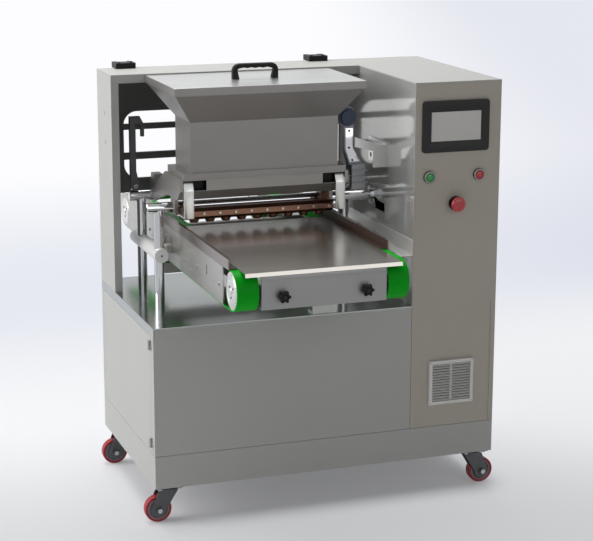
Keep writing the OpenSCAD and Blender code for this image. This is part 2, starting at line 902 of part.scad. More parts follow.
module cross_shafts() color("#e2e2e4") {
  for (y = [shaft_y1, shaft_y2]) {
    translate([bay_x - shaft_reach, y, shaft_z]) rotate([0, 90, 0]) {
      cylinder(d1 = shaft_d - 2 * shaft_chamfer, d2 = shaft_d, h = shaft_chamfer);
      translate([0, 0, shaft_chamfer])
        cylinder(d = shaft_d, h = wall_x - bay_x + shaft_reach - shaft_chamfer);
    }
    difference() {
      bar_x(wall_x - shaft_flange_t, wall_x, y, shaft_z, shaft_flange_d);
      bar_x(wall_x - shaft_flange_t - over, wall_x + over, y, shaft_z, shaft_d + 2 * fit);
    }
  }
  lever_lug();
}

// Lug on the rear shaft behind the hook lever, with the pin that the lever turns on
module lever_lug() {
  lug_y = lever_y2 + clear / 2;
  along_y(lug_y, lug_y + lug_t) {
    translate([lever_x, lever_z]) circle(d = lug_round_d);
    translate([lever_x - lug_round_d / 2, shaft_z]) square([lug_round_d, lever_z - shaft_z]);
  }
  bar_y(lever_y1 - clear - lever_pin_head_h, lug_y + lug_t / 2, lever_x, lever_z, lever_pin_d);
  bar_y(lever_y1 - clear - lever_pin_head_h, lever_y1 - clear, lever_x, lever_z, lever_pin_head_d);
}

// Feed head

roller_y1 = head_y - roller_pitch / 2;
roller_y2 = head_y + roller_pitch / 2;
head_half = head_w / 2;
duct_x = nozzle_bar_w / 2 - duct_inset;

module head_outline() {
  polygon([[hopper_y, head_high], [hopper_y, head_low + head_chamfer], [hopper_y + head_chamfer, head_low],
    [hopper_y + throat_d - head_chamfer, head_low], [hopper_y + throat_d, head_low + head_chamfer],
    [hopper_y + throat_d, head_high]]);
}

module head_housing() color("#86847f") difference() {
  along_x(bay_x - head_half, bay_x + head_half) head_outline();
  along_x(bay_x - head_half + head_end_t, bay_x + head_half - head_end_t) {
    for (y = [roller_y1, roller_y2]) translate([y, roller_z]) circle(d = roller_d + 2 * roller_room);
    translate([head_y - inlet_w / 2, roller_z]) square([inlet_w, head_high - roller_z + over]);
    translate([head_y - outlet_w / 2, head_low + head_floor_t])
      square([outlet_w, roller_z - head_low - head_floor_t]);
  }
  both_sides() bar_z(head_low - over, roller_z, duct_x, head_y, duct_d);
  for (y = [roller_y1, roller_y2])
    bar_x(bay_x - head_half - over, bay_x + head_half + over, y, roller_z, roller_shaft_d + 2 * fit);
  both_sides() span([head_half - pocket_w, hopper_y - over, head_high - pocket_drop - pocket_h],
    [head_half + over, hopper_y + pocket_d, head_high - pocket_drop]);
}

// End plates that reach back to the rear shaft, and the blocks on the front shaft under the head
module head_carriers() color("#6e6e6c") both_sides() {
  arm_y = hopper_y + throat_d - head_chamfer;
  difference() {
    union() {
      along_x(head_half, head_half + carrier_t) {
        head_outline();
        polygon([[arm_y, head_low], [arm_y, head_high], [hopper_y + throat_d, head_high],
          [shaft_y2, shaft_z + carrier_boss_d / 2], [shaft_y2, shaft_z - carrier_boss_d / 2]]);
        translate([shaft_y2, shaft_z]) circle(d = carrier_boss_d);
      }
      along_y(shaft_y2 - rear_block_d / 2, shaft_y2 + rear_block_d / 2) rear_block();
    }
    bar_x(head_half - rear_block_in - over, head_half + 2 * carrier_t, shaft_y2, shaft_z, shaft_d + 2 * fit);
    for (y = [roller_y1, roller_y2])
      bar_x(head_half - over, head_half + carrier_t + over, y, roller_z, roller_shaft_d + 2 * fit);
  }
  along_x(head_half - nozzle_inset + clear, head_half - clear) difference() {
    translate([shaft_y1 - shaft_block_d / 2, shaft_z - shaft_block_low])
      square([shaft_block_d, head_high - shaft_z]);
    head_outline();
    translate([shaft_y1, shaft_z]) circle(d = shaft_d + 2 * fit);
  }
}

// Block on the rear shaft that narrows towards its top
module rear_block() {
  x1 = head_half - rear_block_in;
  x2 = head_half + carrier_t + rear_block_out;
  low = shaft_z + rear_block_lift;
  high = shaft_z + rear_block_h;
  polygon([[x1, low], [x2, low], [x2 - rear_block_taper, high], [x1 + rear_block_taper, high]]);
}

// Involute gear outline with its first tooth along the first axis
function involute_turn(base_r, r) = r <= base_r ? 0 : tan(acos(base_r / r)) * 180 / PI - acos(base_r / r);

module gear_outline() {
  pitch_r = gear_teeth * gear_module / 2;
  base_r = pitch_r * cos(pressure_angle);
  root_r = pitch_r - dedendum_share * gear_module;
  tip_r = pitch_r + addendum_share * gear_module;
  half_pitch = 90 / gear_teeth - backlash / pitch_r * 180 / PI + involute_turn(base_r, pitch_r);
  radii = concat([root_r], [for (i = [0:flank_steps]) base_r + (tip_r - base_r) * i / flank_steps]);
  last = flank_steps + 1;
  polygon([for (t = [0:gear_teeth - 1]) each concat(
    [for (r = radii) flank_point(r, 360 / gear_teeth * t - half_pitch + involute_turn(base_r, r))],
    [for (i = [0:last]) let (r = radii[last - i])
      flank_point(r, 360 / gear_teeth * t + half_pitch - involute_turn(base_r, r))])]);
}

function flank_point(r, a) = [r * cos(a), r * sin(a)];

module feed_roller(y, mesh_turn, stub) {
  gear_x = bay_x + head_half + carrier_t + gear_gap;
  difference() {
    bar_x(bay_x - head_half + head_end_t + roller_room, bay_x + head_half - head_end_t - roller_room,
      y, roller_z, roller_d);
    for (i = [0:flute_count - 1])
      let (a = 360 / flute_count * i)
        bar_x(bay_x - head_half, bay_x + head_half,
          y + roller_d / 2 * cos(a), roller_z + roller_d / 2 * sin(a), flute_d);
  }
  bar_x(bay_x - head_half - carrier_t, gear_x + gear_t + stub, y, roller_z, roller_shaft_d);
  translate([0, y, roller_z]) along_x(gear_x, gear_x + gear_t) rotate(mesh_turn) gear_outline();
}

module front_roller() color("#77777a") feed_roller(roller_y1, 0, gearbox_w / 2);

module rear_roller() color("#77777a") feed_roller(roller_y2, 180 / gear_teeth, 0);

// Hopper and lid

// Hollow or solid hopper body, drawn in by a wall thickness
module hopper_body(inset, low, high) {
  mid_x = bay_x;
  t = throat_w / 2 - inset;
  r = rim_w / 2 - inset;
  y_front = hopper_y + inset;
  y_back = hopper_y + throat_d - inset;
  span([mid_x - t, y_front, low], [mid_x + t, y_back, flare_z]);
  hull() {
    span([mid_x - t, y_front, flare_z - sheet / 2], [mid_x + t, y_back, flare_z]);
    span([mid_x - r, y_front - flare_front, rim_low], [mid_x + r, y_back + flare_rear, rim_low + sheet / 2]);
  }
  span([mid_x - r, y_front - flare_front, rim_low], [mid_x + r, y_back + flare_rear, high]);
}

module hopper() color("#8c8a86") difference() {
  union() {
    hopper_body(0, throat_low, rim_top);
    span([bay_x - head_half, hopper_y - flange_out, throat_low],
      [bay_x + head_half, hopper_y + throat_d + flange_out, throat_low + flange_t]);
  }
  hopper_body(hopper_t, throat_low - over, rim_top + over);
}

lid_half = rim_w / 2 + lid_clear;
lid_y1 = hopper_y - flare_front - lid_clear;
lid_y2 = hopper_y + throat_d + flare_rear + lid_clear;

module hopper_lid() color("#d9d9d7") difference() {
  span([bay_x - lid_half - lid_t / 2, lid_y1 - lid_t / 2, rim_top - lid_skirt],
    [bay_x + lid_half + lid_t / 2, lid_y2 + lid_t / 2, rim_top + lid_t]);
  span([bay_x - lid_half, lid_y1, rim_top - lid_skirt - over], [bay_x + lid_half, lid_y2, rim_top]);
}

// Upright outline with a flat foot and two round upper corners
module arch(w, h, r, foot) {
  translate([-w / 2, -foot]) square([w, h - r + foot]);
  translate([-w / 2 + r, -foot]) square([w - 2 * r, h + foot]);
  for (side = [-1, 1]) translate([side * (w / 2 - r), h - r]) circle(r);
}

module lid_handle() color("#1b1b1c") {
  handle_y = (lid_y1 + lid_y2) / 2;
  along_y(handle_y - handle_d / 2, handle_y + handle_d / 2) translate([bay_x, rim_top + lid_t]) difference() {
    arch(handle_w, handle_h, handle_r, 0);
    arch(handle_w - 2 * handle_leg, handle_h - handle_grip, handle_in_r, over);
  }
}

// Nozzle bar with its two hangers; dough comes down a duct at each end and along a gallery to the nozzles

nozzle_low = castor_h + nozzle_bar_low_h;
nozzle_top = nozzle_low + nozzle_bar_h;
nozzle_mid = (nozzle_low + nozzle_top) / 2;
nozzle_front = head_y - nozzle_bar_d / 2;

module nozzle_bar() color("#b9a79c") {
  difference() {
    union() {
      along_x(bay_x - nozzle_bar_w / 2, bay_x + nozzle_bar_w / 2) nozzle_bar_outline();
      both_sides() span([duct_x - duct_wall, head_y - neck_d / 2, nozzle_mid],
        [duct_x + duct_wall, head_y + neck_d / 2, head_low]);
      for (i = [0:nozzle_count - 1]) {
        translate([nozzle_x(i), head_y, nozzle_low - nozzle_l])
          cylinder(d1 = nozzle_tip_d, d2 = nozzle_d, h = nozzle_l);
        bar_z(nozzle_low - nozzle_l, nozzle_mid, nozzle_x(i), head_y, nozzle_tip_d);
      }
    }
    span([bay_x - duct_x - duct_d, head_y - gallery_w / 2, nozzle_mid - gallery_h / 2],
      [bay_x + duct_x + duct_d, head_y + gallery_w / 2, nozzle_mid + gallery_h / 2]);
    both_sides() bar_z(nozzle_mid, head_low + over, duct_x, head_y, duct_d);
    for (i = [0:nozzle_count - 1])
      bar_z(nozzle_low - nozzle_l - over, nozzle_mid, nozzle_x(i), head_y, duct_d);
  }
  both_sides() along_x(head_half - hanger_in - hanger_w, head_half - hanger_in) hanger_outline();
}

module nozzle_bar_outline() {
  back_y = nozzle_front + nozzle_bar_d;
  polygon([[nozzle_front, nozzle_top - nozzle_bar_bevel], [nozzle_front + nozzle_bar_bevel, nozzle_top],
    [back_y, nozzle_top], [back_y, nozzle_low], [nozzle_front + nozzle_bar_bevel, nozzle_low],
    [nozzle_front, nozzle_low + nozzle_bar_bevel]]);
}

// Hanger in front of the head: its top leans into the pocket and its foot runs back to the nozzle bar
module hanger_outline() {
  y1 = hopper_y - clear - hanger_t;
  y2 = hopper_y - clear;
  low = nozzle_low + hanger_up;
  bend = head_high - pocket_drop - pocket_h + clear;
  top = head_high - pocket_drop - clear;
  polygon([[y1, low], [nozzle_front + hanger_t, low], [nozzle_front + hanger_t, low + hanger_t],
    [y2, low + hanger_t], [y2, bend], [y2 + hanger_lean, top], [y1 + hanger_lean, top], [y1, bend]]);
}

function nozzle_x(i) = bay_x + (i - (nozzle_count - 1) / 2) * nozzle_pitch;

// Feed drive

gearbox_x = bay_x + head_half + carrier_t + gear_gap + gear_t + gear_gap;

gearbox_high = head_low + gearbox_h;
gearbox_front = roller_y1 - gearbox_d / 2;
motor_x = gearbox_x + gearbox_w / 2 - motor_shift;
motor_z = roller_z + motor_up;

// Gear case on the front roller with a leaning arm that ends in the motor clamp
module gearbox() color("#7d7f82") {
  arm_x = gearbox_x - arm_shift;
  arm_low = gearbox_high - gearbox_rib;
  arm_bend = gearbox_high + arm_rise;
  box_right = gearbox_x + gearbox_w;
  box_back = gearbox_front + gearbox_d;
  difference() {
    union() {
      span([gearbox_x, gearbox_front, head_low], [box_right, box_back, gearbox_high]);
      for (i = [1:gearbox_rib_count])
        let (z = head_low + gearbox_h * i / (gearbox_rib_count + 1))
          span([gearbox_x - gear_gap / 2, gearbox_front - gearbox_rib, z],
            [box_right + gearbox_rib, box_back, z + gearbox_rib_t]);
      along_y(roller_y1 - arm_d / 2, roller_y1 + arm_d / 2)
        polygon([[gearbox_x, arm_low], [box_right, arm_low], [arm_x + arm_w, arm_bend],
          [arm_x + arm_w, motor_z], [arm_x, motor_z], [arm_x, arm_bend]]);
      bar_y(roller_y1 - clamp_w / 2, roller_y1 + clamp_w / 2, motor_x, motor_z, clamp_d);
    }
    bar_x(gearbox_x - gear_t, box_right + gearbox_rib + over, roller_y1, roller_z, roller_shaft_d + 2 * fit);
    bar_y(roller_y1 - clamp_w, roller_y1 + clamp_w, motor_x, motor_z, motor_d + 2 * motor_gap);
  }
}

// Elbow plate from the leaning arm to a flange on the cabinet wall
module motor_bracket() color("#8b8d8f") {
  elbow_z = roller_z + elbow_up;
  flange_low = elbow_z - elbow_drop;
  arm_x = gearbox_x - arm_shift + arm_w;
  leg_x = wall_x - wall_plate_t - elbow_leg;
  leg_high = elbow_z - elbow_fall;
  difference() {
    union() {
      along_y(gearbox_front, gearbox_front + elbow_t)
        polygon([[arm_x, elbow_z], [wall_x - elbow_leg / 2, leg_high], [wall_x, leg_high],
          [wall_x, flange_low], [leg_x, flange_low], [leg_x, leg_high - elbow_h / 2],
          [arm_x, elbow_z - elbow_h]]);
      span([arm_x, gearbox_front, elbow_z - elbow_h],
        [arm_x + elbow_t, roller_y1 + arm_d / 2, elbow_z - elbow_t / 2]);
      span([wall_x - wall_plate_t, gearbox_front, flange_low],
        [wall_x, gearbox_front + wall_plate_w, flange_low + wall_plate_h]);
    }
    for (up = [wall_plate_hole_in, wall_plate_h - wall_plate_hole_in])
      bar_x(wall_x - wall_plate_t - over, wall_x + over,
        gearbox_front + wall_plate_w - wall_plate_hole_in, flange_low + up, wall_plate_hole_d);
  }
}

module motor() color("#1d2a44") {
  bar_y(gearbox_front, gearbox_front + motor_l, motor_x, motor_z, motor_d);
  bar_y(gearbox_front - motor_cap_h, gearbox_front + motor_l / 2, motor_x, motor_z, motor_cap_d);
}

// Hooked lever over the left end of the rear shaft

module hook_lever() color("#3e3f41")
  along_y(lever_y1, lever_y2) translate([lever_x, lever_z]) difference() {
    stem_x = lever_stem_in - lever_stem_w;
    tip_x = lever_stem_in + lever_hook_reach;
    brow_z = lever_h - lever_brow_drop;
    tip_z = lever_h - lever_hook_drop;
    union() {
      circle(d = lever_foot_d);
      polygon([[-lever_foot_d / 2, 0], [lever_foot_d / 2, 0], [lever_stem_in, lever_gusset_h],
        [lever_stem_in, lever_h - lever_palate], [tip_x - lever_hook_w, brow_z],
        [tip_x - lever_hook_w, tip_z], [tip_x, tip_z], [tip_x, brow_z],
        [lever_stem_in + lever_brow, lever_h], [stem_x, lever_h], [stem_x, lever_gusset_h]]);
    }
    circle(d = lever_pin_d + 2 * fit);
  }

// Conveyor

module side_plates() color("#c4c3b8") both_sides()
  along_x(plate_half - plate_t, plate_half) difference() {
    union() {
      translate([plate_front_y, plate_low]) square([plate_rear_y - plate_r - plate_front_y, plate_h]);
      translate([plate_rear_y - 2 * plate_r, plate_low + plate_r]) square([2 * plate_r, plate_h - plate_r]);
      translate([plate_rear_y - plate_r, plate_low + plate_r]) circle(plate_r);
    }
    for (y = [plate_slot_front, plate_slot_rear])
      translate([y, plate_low + plate_slot_up]) square([plate_slot_w, plate_slot_h], center = true);
    translate([rear_pulley_y, pulley_z]) circle(d = pulley_shaft_d + 2 * fit);
  }

module front_frame() color("#7c7c78") difference() {
  union() {
    span([bay_x - arm_out, front_plate_y - front_plate_t, front_plate_low],
      [bay_x + arm_out, front_plate_y, front_plate_low + front_plate_h]);
    both_sides() span([arm_out - arm_t, front_plate_y - front_plate_t, front_plate_low],
      [arm_out, front_plate_y + arm_l, front_plate_low + arm_h]);
  }
  bar_x(bay_x - plate_half, bay_x + plate_half, front_pulley_y, pulley_z, pulley_shaft_d + 2 * fit);
  for (s = [-1, 1])
    bar_y(front_plate_y - front_plate_t - over, front_plate_y + over,
      bay_x + s * knob_half, knob_z, stud_d + 2 * fit);
}

// Cross tubes, the strips that carry the upper belt runs and the rails that hold the front frame
module belt_bed() color("#9a9a98") {
  run = plate_rear_y - plate_front_y;
  for (share = cross_shares)
    bar_x(bay_x - plate_half + plate_t, bay_x + plate_half - plate_t,
      plate_front_y + run * share, pulley_z, cross_d);
  slide_top = belt_top - belt_t - belt_gap;
  both_sides() span([belt_in + slide_inset, plate_front_y + slide_lap, slide_top - slide_t],
    [belt_out - slide_inset, rear_pulley_y - belt_in_r - slide_lap, slide_top]);
  rail_y = front_plate_y + arm_l - front_plate_t - cross_d;
  both_sides() span([arm_out - 2 * arm_t, rail_y, pulley_z - cross_d],
    [arm_out - arm_t, plate_front_y + run * cross_shares[0], pulley_z + cross_d / 2]);
}

// Closed belt loop round both pulleys
module belt_loop(r) {
  for (y = [front_pulley_y, rear_pulley_y]) translate([y, pulley_z]) circle(r, $fn = 96);
  translate([front_pulley_y, pulley_z - r]) square([rear_pulley_y - front_pulley_y, 2 * r]);
}

module belts() color("#1f9a2a") both_sides() along_x(belt_in, belt_out) difference() {
  belt_loop(belt_out_r);
  belt_loop(belt_in_r);
}

module tray_guides() color("#8d857e") {
  guide(-1, guide_front_left);
  guide(1, guide_front_right);
}

module guide(side, start) {
  low = belt_top + seam / 2;
  translate([bay_x, 0, 0]) mirror([side < 0 ? 1 : 0, 0, 0]) along_y(start, guide_rear)
    polygon([[plate_half - guide_t, low], [plate_half, low], [plate_half, low + guide_h],
      [plate_half - guide_fold, low + guide_h], [plate_half - guide_fold, low + guide_h - guide_t / 2],
      [plate_half - guide_t, low + guide_h - guide_t / 2]]);
}

module lift_bars() color("#dcdcda") both_sides() {
  z = castor_h + lift_bar_h;
  difference() {
    union() {
      bar_y(lift_bar_front, lift_bar_rear, post_half, z, lift_bar_d);
      for (y = [lift_y - beam_tall / 2 - lug_gap - lug_w, lift_y + beam_tall / 2 + lug_gap])
        span([plate_half, y, z - lug_h / 2], [post_half, y + lug_w, z + lug_h / 2]);
    }
    for (y = [shaft_y1, shaft_y2])
      bar_z(z - lift_bar_d, z + lift_bar_d, post_half, y, post_d + 2 * fit);
    bar_y(lift_bar_front - over, lift_bar_front + lift_bar_dimple_l, post_half, z, lift_bar_dimple_d);
  }
}

module lift_frame() color("#7a7a78") {
  low = belt_low - beam_drop - beam_tall;
  y1 = lift_y - beam_tall / 2;
  y2 = lift_y + beam_tall / 2;
  span([bay_x - plate_half - beam_end_t, y1, low], [bay_x + plate_half + beam_end_t, y2, low + beam_tall]);
  both_sides() span([plate_half, y1, low], [plate_half + beam_end_t, y2, plate_low + beam_end_h]);
  bar_z(deck_z - deck_t - rod_below, low + beam_tall / 2, bay_x, lift_y, rod_d);
}

module lift_actuator() color("#55585c") difference() {
  high = deck_z - deck_t;
  union() {
    bar_z(high - actuator_l, high, bay_x, lift_y, actuator_d);
    bar_z(high - actuator_flange_t, high, bay_x, lift_y, actuator_flange_d);
  }
  bar_z(high - actuator_l + actuator_floor, high + over, bay_x, lift_y, rod_d + 2 * fit);
}

// Pulley pair on its shaft; the shaft reaches from one end to the other
module pulley_pair(y, shaft_low, shaft_high) {
  bar_x(shaft_low, shaft_high, y, pulley_z, pulley_shaft_d);
  both_sides() difference() {
    bar_x(belt_in + pulley_edge, belt_out - pulley_edge, y, pulley_z, pulley_d);
    bar_x(belt_out - pulley_edge - pulley_face_sink, belt_out, y, pulley_z, pulley_face_d);
    for (a = [90, 210, 330])
      bar_x(belt_out - pulley_edge - 3 * pulley_face_sink, belt_out,
        y + dot_pcd * cos(a), pulley_z + dot_pcd * sin(a), dot_d);
  }
}

module front_pulleys() color("#b5b5b2")
  pulley_pair(front_pulley_y, bay_x - belt_out + 2 * pulley_edge, bay_x + belt_out - 2 * pulley_edge);

module rear_pulleys() color("#b5b5b2")
  pulley_pair(rear_pulley_y, bay_x - plate_half, bay_x + plate_half + drive_stub);

module conveyor_motor() color("#4a4d52") {
  x1 = bay_x + plate_half;
  difference() {
    span([x1, rear_pulley_y - drive_d / 2, pulley_z - drive_h / 2],
      [x1 + drive_w, rear_pulley_y + drive_d / 2, pulley_z + drive_h / 2]);
    bar_x(x1 - over, x1 + drive_w + over, rear_pulley_y, pulley_z, pulley_shaft_d + 2 * fit);
  }
  bar_y(rear_pulley_y - drive_d / 2 - drive_motor_l, rear_pulley_y - drive_d / 2 + plate_t,
    x1 + drive_w / 2 + plate_t, pulley_z, drive_motor_d);
}

module star_knob(side) {
  y = front_plate_y - front_plate_t;
  translate([bay_x + side * knob_half, y, knob_z]) rotate([90, 0, 0]) {
    translate([0, 0, clear / 2]) cylinder(d = knob_hub_d, h = knob_hub_h - clear / 2);
    translate([0, 0, knob_hub_h]) linear_extrude(knob_t) {
      circle(d = knob_d - knob_lobe_d);
      for (i = [0:knob_lobes - 1]) rotate(360 / knob_lobes * i)
        translate([(knob_d - knob_lobe_d) / 2, 0]) circle(d = knob_lobe_d);
    }
    translate([0, 0, -stud_l]) cylinder(d = stud_d, h = stud_l + knob_hub_h + knob_t / 2);
  }
}

module left_knob() color("#232324") star_knob(-1);

module right_knob() color("#232324") star_knob(1);

module tray() color("#d2d0cc") along_x(bay_x - tray_w / 2, bay_x + tray_w / 2)
  polygon([[tray_front + lip_run, tray_low + tray_t], [tray_front + tray_l, tray_low + tray_t],
    [tray_front + tray_l, tray_low], [tray_front + lip_run + tray_t, tray_low],
    [tray_front + tray_t, tray_low + tray_t - tray_lip], [tray_front, tray_low + tray_t - tray_lip]]);

// Fixed pieces beside and under the conveyor

module side_shelf() color("#85857f") {
  z = castor_h + shelf_h;
  span([wall_x - shelf_w, front + sheet, z - sheet], [wall_x, front + shelf_back, z]);
  span([wall_x - sheet, front + sheet, z - sheet], [wall_x, front + shelf_back, z + shelf_up]);
}

module stop_bracket() color("#b8b8b5") {
  x1 = stop_bracket_x;
  y1 = front + stop_bracket_back;
  span([x1, y1, deck_z], [x1 + stop_bracket_w, y1 + stop_bracket_t, deck_z + stop_bracket_h]);
  span([x1, y1, deck_z], [x1 + stop_bracket_w, y1 + stop_bracket_foot, deck_z + stop_bracket_t]);
}

// The whole machine stands with the middle of its floor plan on the origin
module placed() {
  translate([0, origin_y, 0]) children();
}

placed() base_pan();
placed() front_panel();
placed() rear_panel();
placed() deck_plate();
placed() side_door();
placed() castor_plates();
placed() castor_fork(-1, -1);  // front_left_fork
placed() castor_fork(1, -1);  // front_right_fork
placed() castor_fork(-1, 1);  // rear_left_fork
placed() castor_fork(1, 1);  // rear_right_fork
placed() castor_wheel(-1, -1);  // front_left_wheel
placed() castor_wheel(1, -1);  // front_right_wheel
placed() castor_wheel(-1, 1);  // rear_left_wheel
placed() castor_wheel(1, 1);  // rear_right_wheel
placed() cabinet_inner_wall();
placed() cabinet_outer_wall();
placed() cabinet_back();
placed() cabinet_top();
placed() cabinet_front();
placed() vent_grille();
placed() display_bezel();
placed() display_screen();
placed() button_collars();
placed() green_button();
placed() red_button();
placed() stop_button();
placed() left_column();
placed() gantry_beam();
placed() guard_hinges();
placed() rear_guard();
placed() guide_posts();
placed() cross_shafts();
placed() head_carriers();
placed() head_housing();
placed() front_roller();
placed() rear_roller();
placed() hopper();
placed() hopper_lid();
placed() lid_handle();
placed() nozzle_bar();
placed() gearbox();
placed() motor();
placed() motor_bracket();
placed() hook_lever();
placed() side_plates();
placed() front_frame();
placed() belt_bed();
placed() belts();
placed() tray_guides();
placed() lift_bars();
placed() lift_frame();
placed() lift_actuator();
placed() front_pulleys();
placed() rear_pulleys();
placed() conveyor_motor();
placed() left_knob();
placed() right_knob();
placed() tray();
placed() side_shelf();
placed() stop_bracket();
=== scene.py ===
"""Studio scene of a cookie depositor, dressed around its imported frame.

Lengths are in metres, +Z is up and the front of the machine faces -Y.
"""
import logging
import math
from dataclasses import dataclass, field, replace
from enum import Enum

import bmesh
import bpy
from mathutils import Matrix, Vector


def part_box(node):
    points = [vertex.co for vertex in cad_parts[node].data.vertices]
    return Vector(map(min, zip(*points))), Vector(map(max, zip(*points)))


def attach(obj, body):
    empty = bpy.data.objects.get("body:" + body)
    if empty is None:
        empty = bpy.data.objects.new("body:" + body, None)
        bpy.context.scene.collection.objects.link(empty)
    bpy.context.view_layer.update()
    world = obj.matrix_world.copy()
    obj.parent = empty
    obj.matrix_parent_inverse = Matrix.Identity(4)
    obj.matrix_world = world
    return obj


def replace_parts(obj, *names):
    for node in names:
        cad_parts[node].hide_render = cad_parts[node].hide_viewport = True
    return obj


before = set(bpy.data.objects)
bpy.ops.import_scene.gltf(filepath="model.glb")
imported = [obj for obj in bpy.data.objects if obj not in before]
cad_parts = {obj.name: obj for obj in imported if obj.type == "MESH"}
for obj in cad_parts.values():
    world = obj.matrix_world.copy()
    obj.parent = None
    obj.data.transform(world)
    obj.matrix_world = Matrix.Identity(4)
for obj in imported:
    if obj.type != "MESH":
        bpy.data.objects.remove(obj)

LOG = logging.getLogger("depositor")
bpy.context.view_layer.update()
MM = 0.001
SMOOTH_ANGLE = 35.0
MERGE_GAP = 1e-6
EDGE_SEGMENTS = 2
ROUND_PROFILE = 0.5
X_AXIS = Vector((1, 0, 0))
Y_AXIS = Vector((0, 1, 0))
Z_AXIS = Vector((0, 0, 1))
ORIGIN = (0.0, 0.0, 0.0)

Point = tuple[float, float, float]
Span = tuple[float, float]
Colour = tuple[float, float, float, float]
Outline = list[tuple[float, float]]
Loop = list[Vector]
Socket = bpy.types.NodeSocket


# Finishes


def linear(code: str) -> Colour:
    """Turn an sRGB hex colour into linear RGBA.

    Args:
        code: Colour as "#rrggbb".

    Returns:
        The linear colour with full alpha.
    """
    values = [int(code[i:i + 2], 16) / 255 for i in (1, 3, 5)]
    mapped = [v / 12.92 if v <= 0.04045 else ((v + 0.055) / 1.055) ** 2.4 for v in values]
    return mapped[0], mapped[1], mapped[2], 1.0


def shade(code: str, factor: float) -> Colour:
    """Return the linear colour of a hex code, lightened or darkened by a factor."""
    red, green, blue, alpha = linear(code)
    return min(red * factor, 1.0), min(green * factor, 1.0), min(blue * factor, 1.0), alpha


def add_node(tree: bpy.types.NodeTree, kind: str, sockets: dict | None = None, **settings) -> bpy.types.Node:
    """Add a node, set its properties, and set or link its inputs.

    Args:
        tree: Node tree that takes the node.
        kind: Blender's name of the node type.
        sockets: Input name or number to a value, or to an output socket that is linked in.
        **settings: Properties of the node.

    Returns:
        The new node.
    """
    node = tree.nodes.new(kind)
    for name, value in settings.items():
        setattr(node, name, value)
    for key, value in (sockets or {}).items():
        if isinstance(value, Socket):
            tree.links.new(value, node.inputs[key])
        else:
            node.inputs[key].default_value = value
    return node


class Grain(Enum):
    """How the pattern of a surface runs."""

    UPRIGHT = "brushed along Z"
    ACROSS = "brushed along X"
    DEEP = "brushed along Y"
    SPECKLED = "the same all ways"


METRE_IN_MM = 1000.0
FINE_DETAIL = 3.0
BROAD_DETAIL = 2.0
NOISE_LOW = 0.3
NOISE_HIGH = 0.7
LEAST_ROUGHNESS = 0.02
RELIEF_STRENGTH = 0.6
EDGE_SAMPLES = 4


